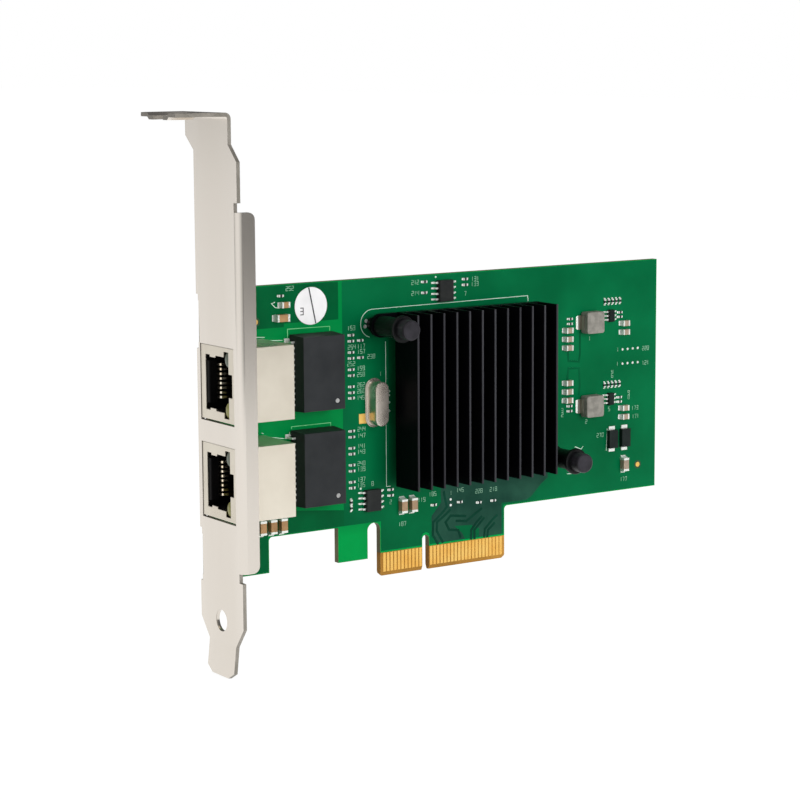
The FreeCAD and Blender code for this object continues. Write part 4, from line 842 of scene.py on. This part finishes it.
solder = surface("solder", (232, 236, 230), (246, 249, 244), 1.5, (0.2, 0.32), metal=0.35)
parts = end_fillets("chip_resistor_ends", ["chip_resistors"], 0.35)
parts += end_fillets("capacitor_ends", ["ceramic_capacitors"], 0.55)
for port, centre in PORTS:
    parts += end_fillets("magnetics_leads_" + port, ["magnetics_" + port], 0.5, 0.35)
parts += end_fillets("flash_chip_leads", ["flash_chip"], 0.45, 0.3)
parts += end_fillets("power_switch_leads", ["power_switch"], 0.45, 0.3)
parts += end_fillets("regulator_leads", ["regulators"], 0.4, 0.3)
parts += end_fillets("inductor_leads", ["power_inductor_upper", "power_inductor_lower"], 0.5, 0.2)
solid("solder_fillets", *gather(parts), solder, "tinned_lead")


# Solder joints behind the board, where the pins of the jacks come through, and in the
# holes that take the pegs of their shields.

PEG_X, PEG_REACH = -50.85, 7.95
pin_cone = [(0.85, -1.56), (0.8, -1.64), (0.5, -2.0), (0.34, -2.5), (0.3, -2.7)]
peg_plug = [(0.3, -2.05), (0.8, -1.9), (1.15, -1.68), (1.25, BOARD_BACK), (0.88, -1.56),
            (0.88, 0.0), (1.1, 0.01), (1.0, 0.06)]
parts = []
for port, centre in PORTS:
    for node in ("jack_contacts_", "link_light_", "activity_light_"):
        for low, high in solid_boxes(node + port):
            if high[1] > PAST_BOARD:
                middle = (low + high) / 2
                parts.append(turned(middle[0], middle[2], pin_cone, 12))
    for side in (-1, 1):
        parts.append(turned(PEG_X, centre + side * PEG_REACH, peg_plug, 16))
solid("pin_solder", *gather(parts), solder, "tinned_lead")


# Inspection label: a round white vinyl sticker on the board, with a dividing line and a
# plain number printed on it.

dress(surface("white_vinyl", (222, 221, 222), (234, 233, 234), 6, (0.42, 0.5), bump=0.004),
      "inspection_label")
print_ink = surface("label_ink", (36, 36, 40), (52, 52, 56), 2, (0.5, 0.6))
parts = [track([(-31.12, 67.8), (-29.4, 59.75)], 0.3, 0.1, 0.13)]
label_number = [(points + (0, -0.1, 0), faces)
                for points, faces in number("3", -33.0, 62.6, 1.5)]
solid("label_print", *gather(parts + label_number), print_ink, "label_vinyl")


# Floor, light and camera: a white floor under the bracket's tip, a white room that shines
# from the bracket's side, one broad soft light from the front, and a weak one from above.

def white_stage(name, share):
    """White that looks the same to the camera and in reflections, and takes a shadow by
    the share that is left to the lamps."""
    material = bpy.data.materials.new(name)
    material.use_nodes = True
    tree = material.node_tree
    tree.nodes.remove(tree.nodes["Principled BSDF"])
    paint = tree.nodes.new("ShaderNodeBsdfDiffuse")
    paint.inputs["Color"].default_value = (1, 1, 1, 1)
    glow = tree.nodes.new("ShaderNodeEmission")
    glow.inputs["Strength"].default_value = 1.16
    path = tree.nodes.new("ShaderNodeLightPath")
    seen = combine(tree, "MAXIMUM", path.outputs["Is Camera Ray"], path.outputs["Is Glossy Ray"])
    through = combine(tree, "MAXIMUM", seen, path.outputs["Is Transmission Ray"])
    blend = tree.nodes.new("ShaderNodeMixShader")
    join(tree, combine(tree, "MULTIPLY", through, share), blend.inputs["Fac"])
    join(tree, paint.outputs["BSDF"], blend.inputs[1])
    join(tree, glow.outputs["Emission"], blend.inputs[2])
    join(tree, blend.outputs["Shader"], tree.nodes["Material Output"].inputs["Surface"])
    return material


floor_mesh = bpy.data.meshes.new("floor")
floor_z = cad_low[2] - 0.0002
near, far, half_wide = -0.45, 8, 4
floor_mesh.from_pydata([(-half_wide, near, floor_z), (half_wide, near, floor_z),
                        (half_wide, far, floor_z), (-half_wide, far, floor_z)],
                       [], [(0, 1, 2, 3)])
floor_mesh.materials.append(white_stage("floor_white", 0.8))
floor = bpy.data.objects.new("floor", floor_mesh)
bpy.context.scene.collection.objects.link(floor)

world = bpy.data.worlds.new("studio")
bpy.context.scene.world = world
world.use_nodes = True
tree = world.node_tree
backdrop = tree.nodes["Background"]
backdrop.inputs["Color"].default_value = (1, 1, 1, 1)
path = tree.nodes.new("ShaderNodeLightPath")
seen = combine(tree, "MAXIMUM", path.outputs["Is Camera Ray"],
               path.outputs["Is Transmission Ray"])
toward = tree.nodes.new("ShaderNodeVectorMath")
toward.operation = "DOT_PRODUCT"
join(tree, tree.nodes.new("ShaderNodeTexCoord").outputs["Generated"], toward.inputs[0])
toward.inputs[1].default_value = (-0.95, -0.31, 0)
room = spread(tree, toward.outputs["Value"], -0.2, 0.9, 0.13, 0.95)


def blended(tree, factor, first, second):
    """A value between two others: the first at nought and the second at one."""
    mix = tree.nodes.new("ShaderNodeMix")
    join(tree, factor, mix.inputs["Factor"])
    for value, socket in ((first, mix.inputs["A"]), (second, mix.inputs["B"])):
        if isinstance(value, float):
            socket.default_value = value
        else:
            join(tree, value, socket)
    return mix.outputs["Result"]


mirrored = blended(tree, path.outputs["Is Glossy Ray"], 0.4, room)
join(tree, blended(tree, seen, mirrored, 1.0), backdrop.inputs["Strength"])


def soft_light(name, place, aim, size, power, in_metal=True):
    """A square lamp that faces a point, and may be left out of what metal mirrors."""
    lamp = bpy.data.lights.new(name, "AREA")
    lamp.size = size
    lamp.energy = power
    made = bpy.data.objects.new(name, lamp)
    made.location = place
    direction = np.array(aim) - np.array(place)
    yaw = np.arctan2(direction[1], direction[0]) - np.pi / 2
    pitch = np.arctan2(direction[2], np.hypot(direction[0], direction[1])) + np.pi / 2
    made.rotation_euler = (pitch, 0, yaw)
    made.visible_glossy = in_metal
    bpy.context.scene.collection.objects.link(made)


soft_light("key_light", (0.2, -1.0, 0.2), (0, 0, 0.04), 0.6, 8.7, False)
soft_light("top_light", (-0.2, -0.6, 0.9), (0, 0, 0.04), 0.3, 0.8)

# The camera stands at the photograph's angle, about half a metre from the card
camera = bpy.data.objects.new("camera", bpy.data.cameras.new("camera"))
camera.location = (-0.307524, -0.452051, 0.119711)
camera.rotation_euler = Euler(np.radians((81.7005, 0.3445, -33.6727)))
camera.data.lens = 107.82
camera.data.sensor_width = 36
camera.data.clip_start = 0.01
bpy.context.scene.collection.objects.link(camera)
bpy.context.scene.camera = camera
bpy.context.scene.view_settings.view_transform = "Standard"
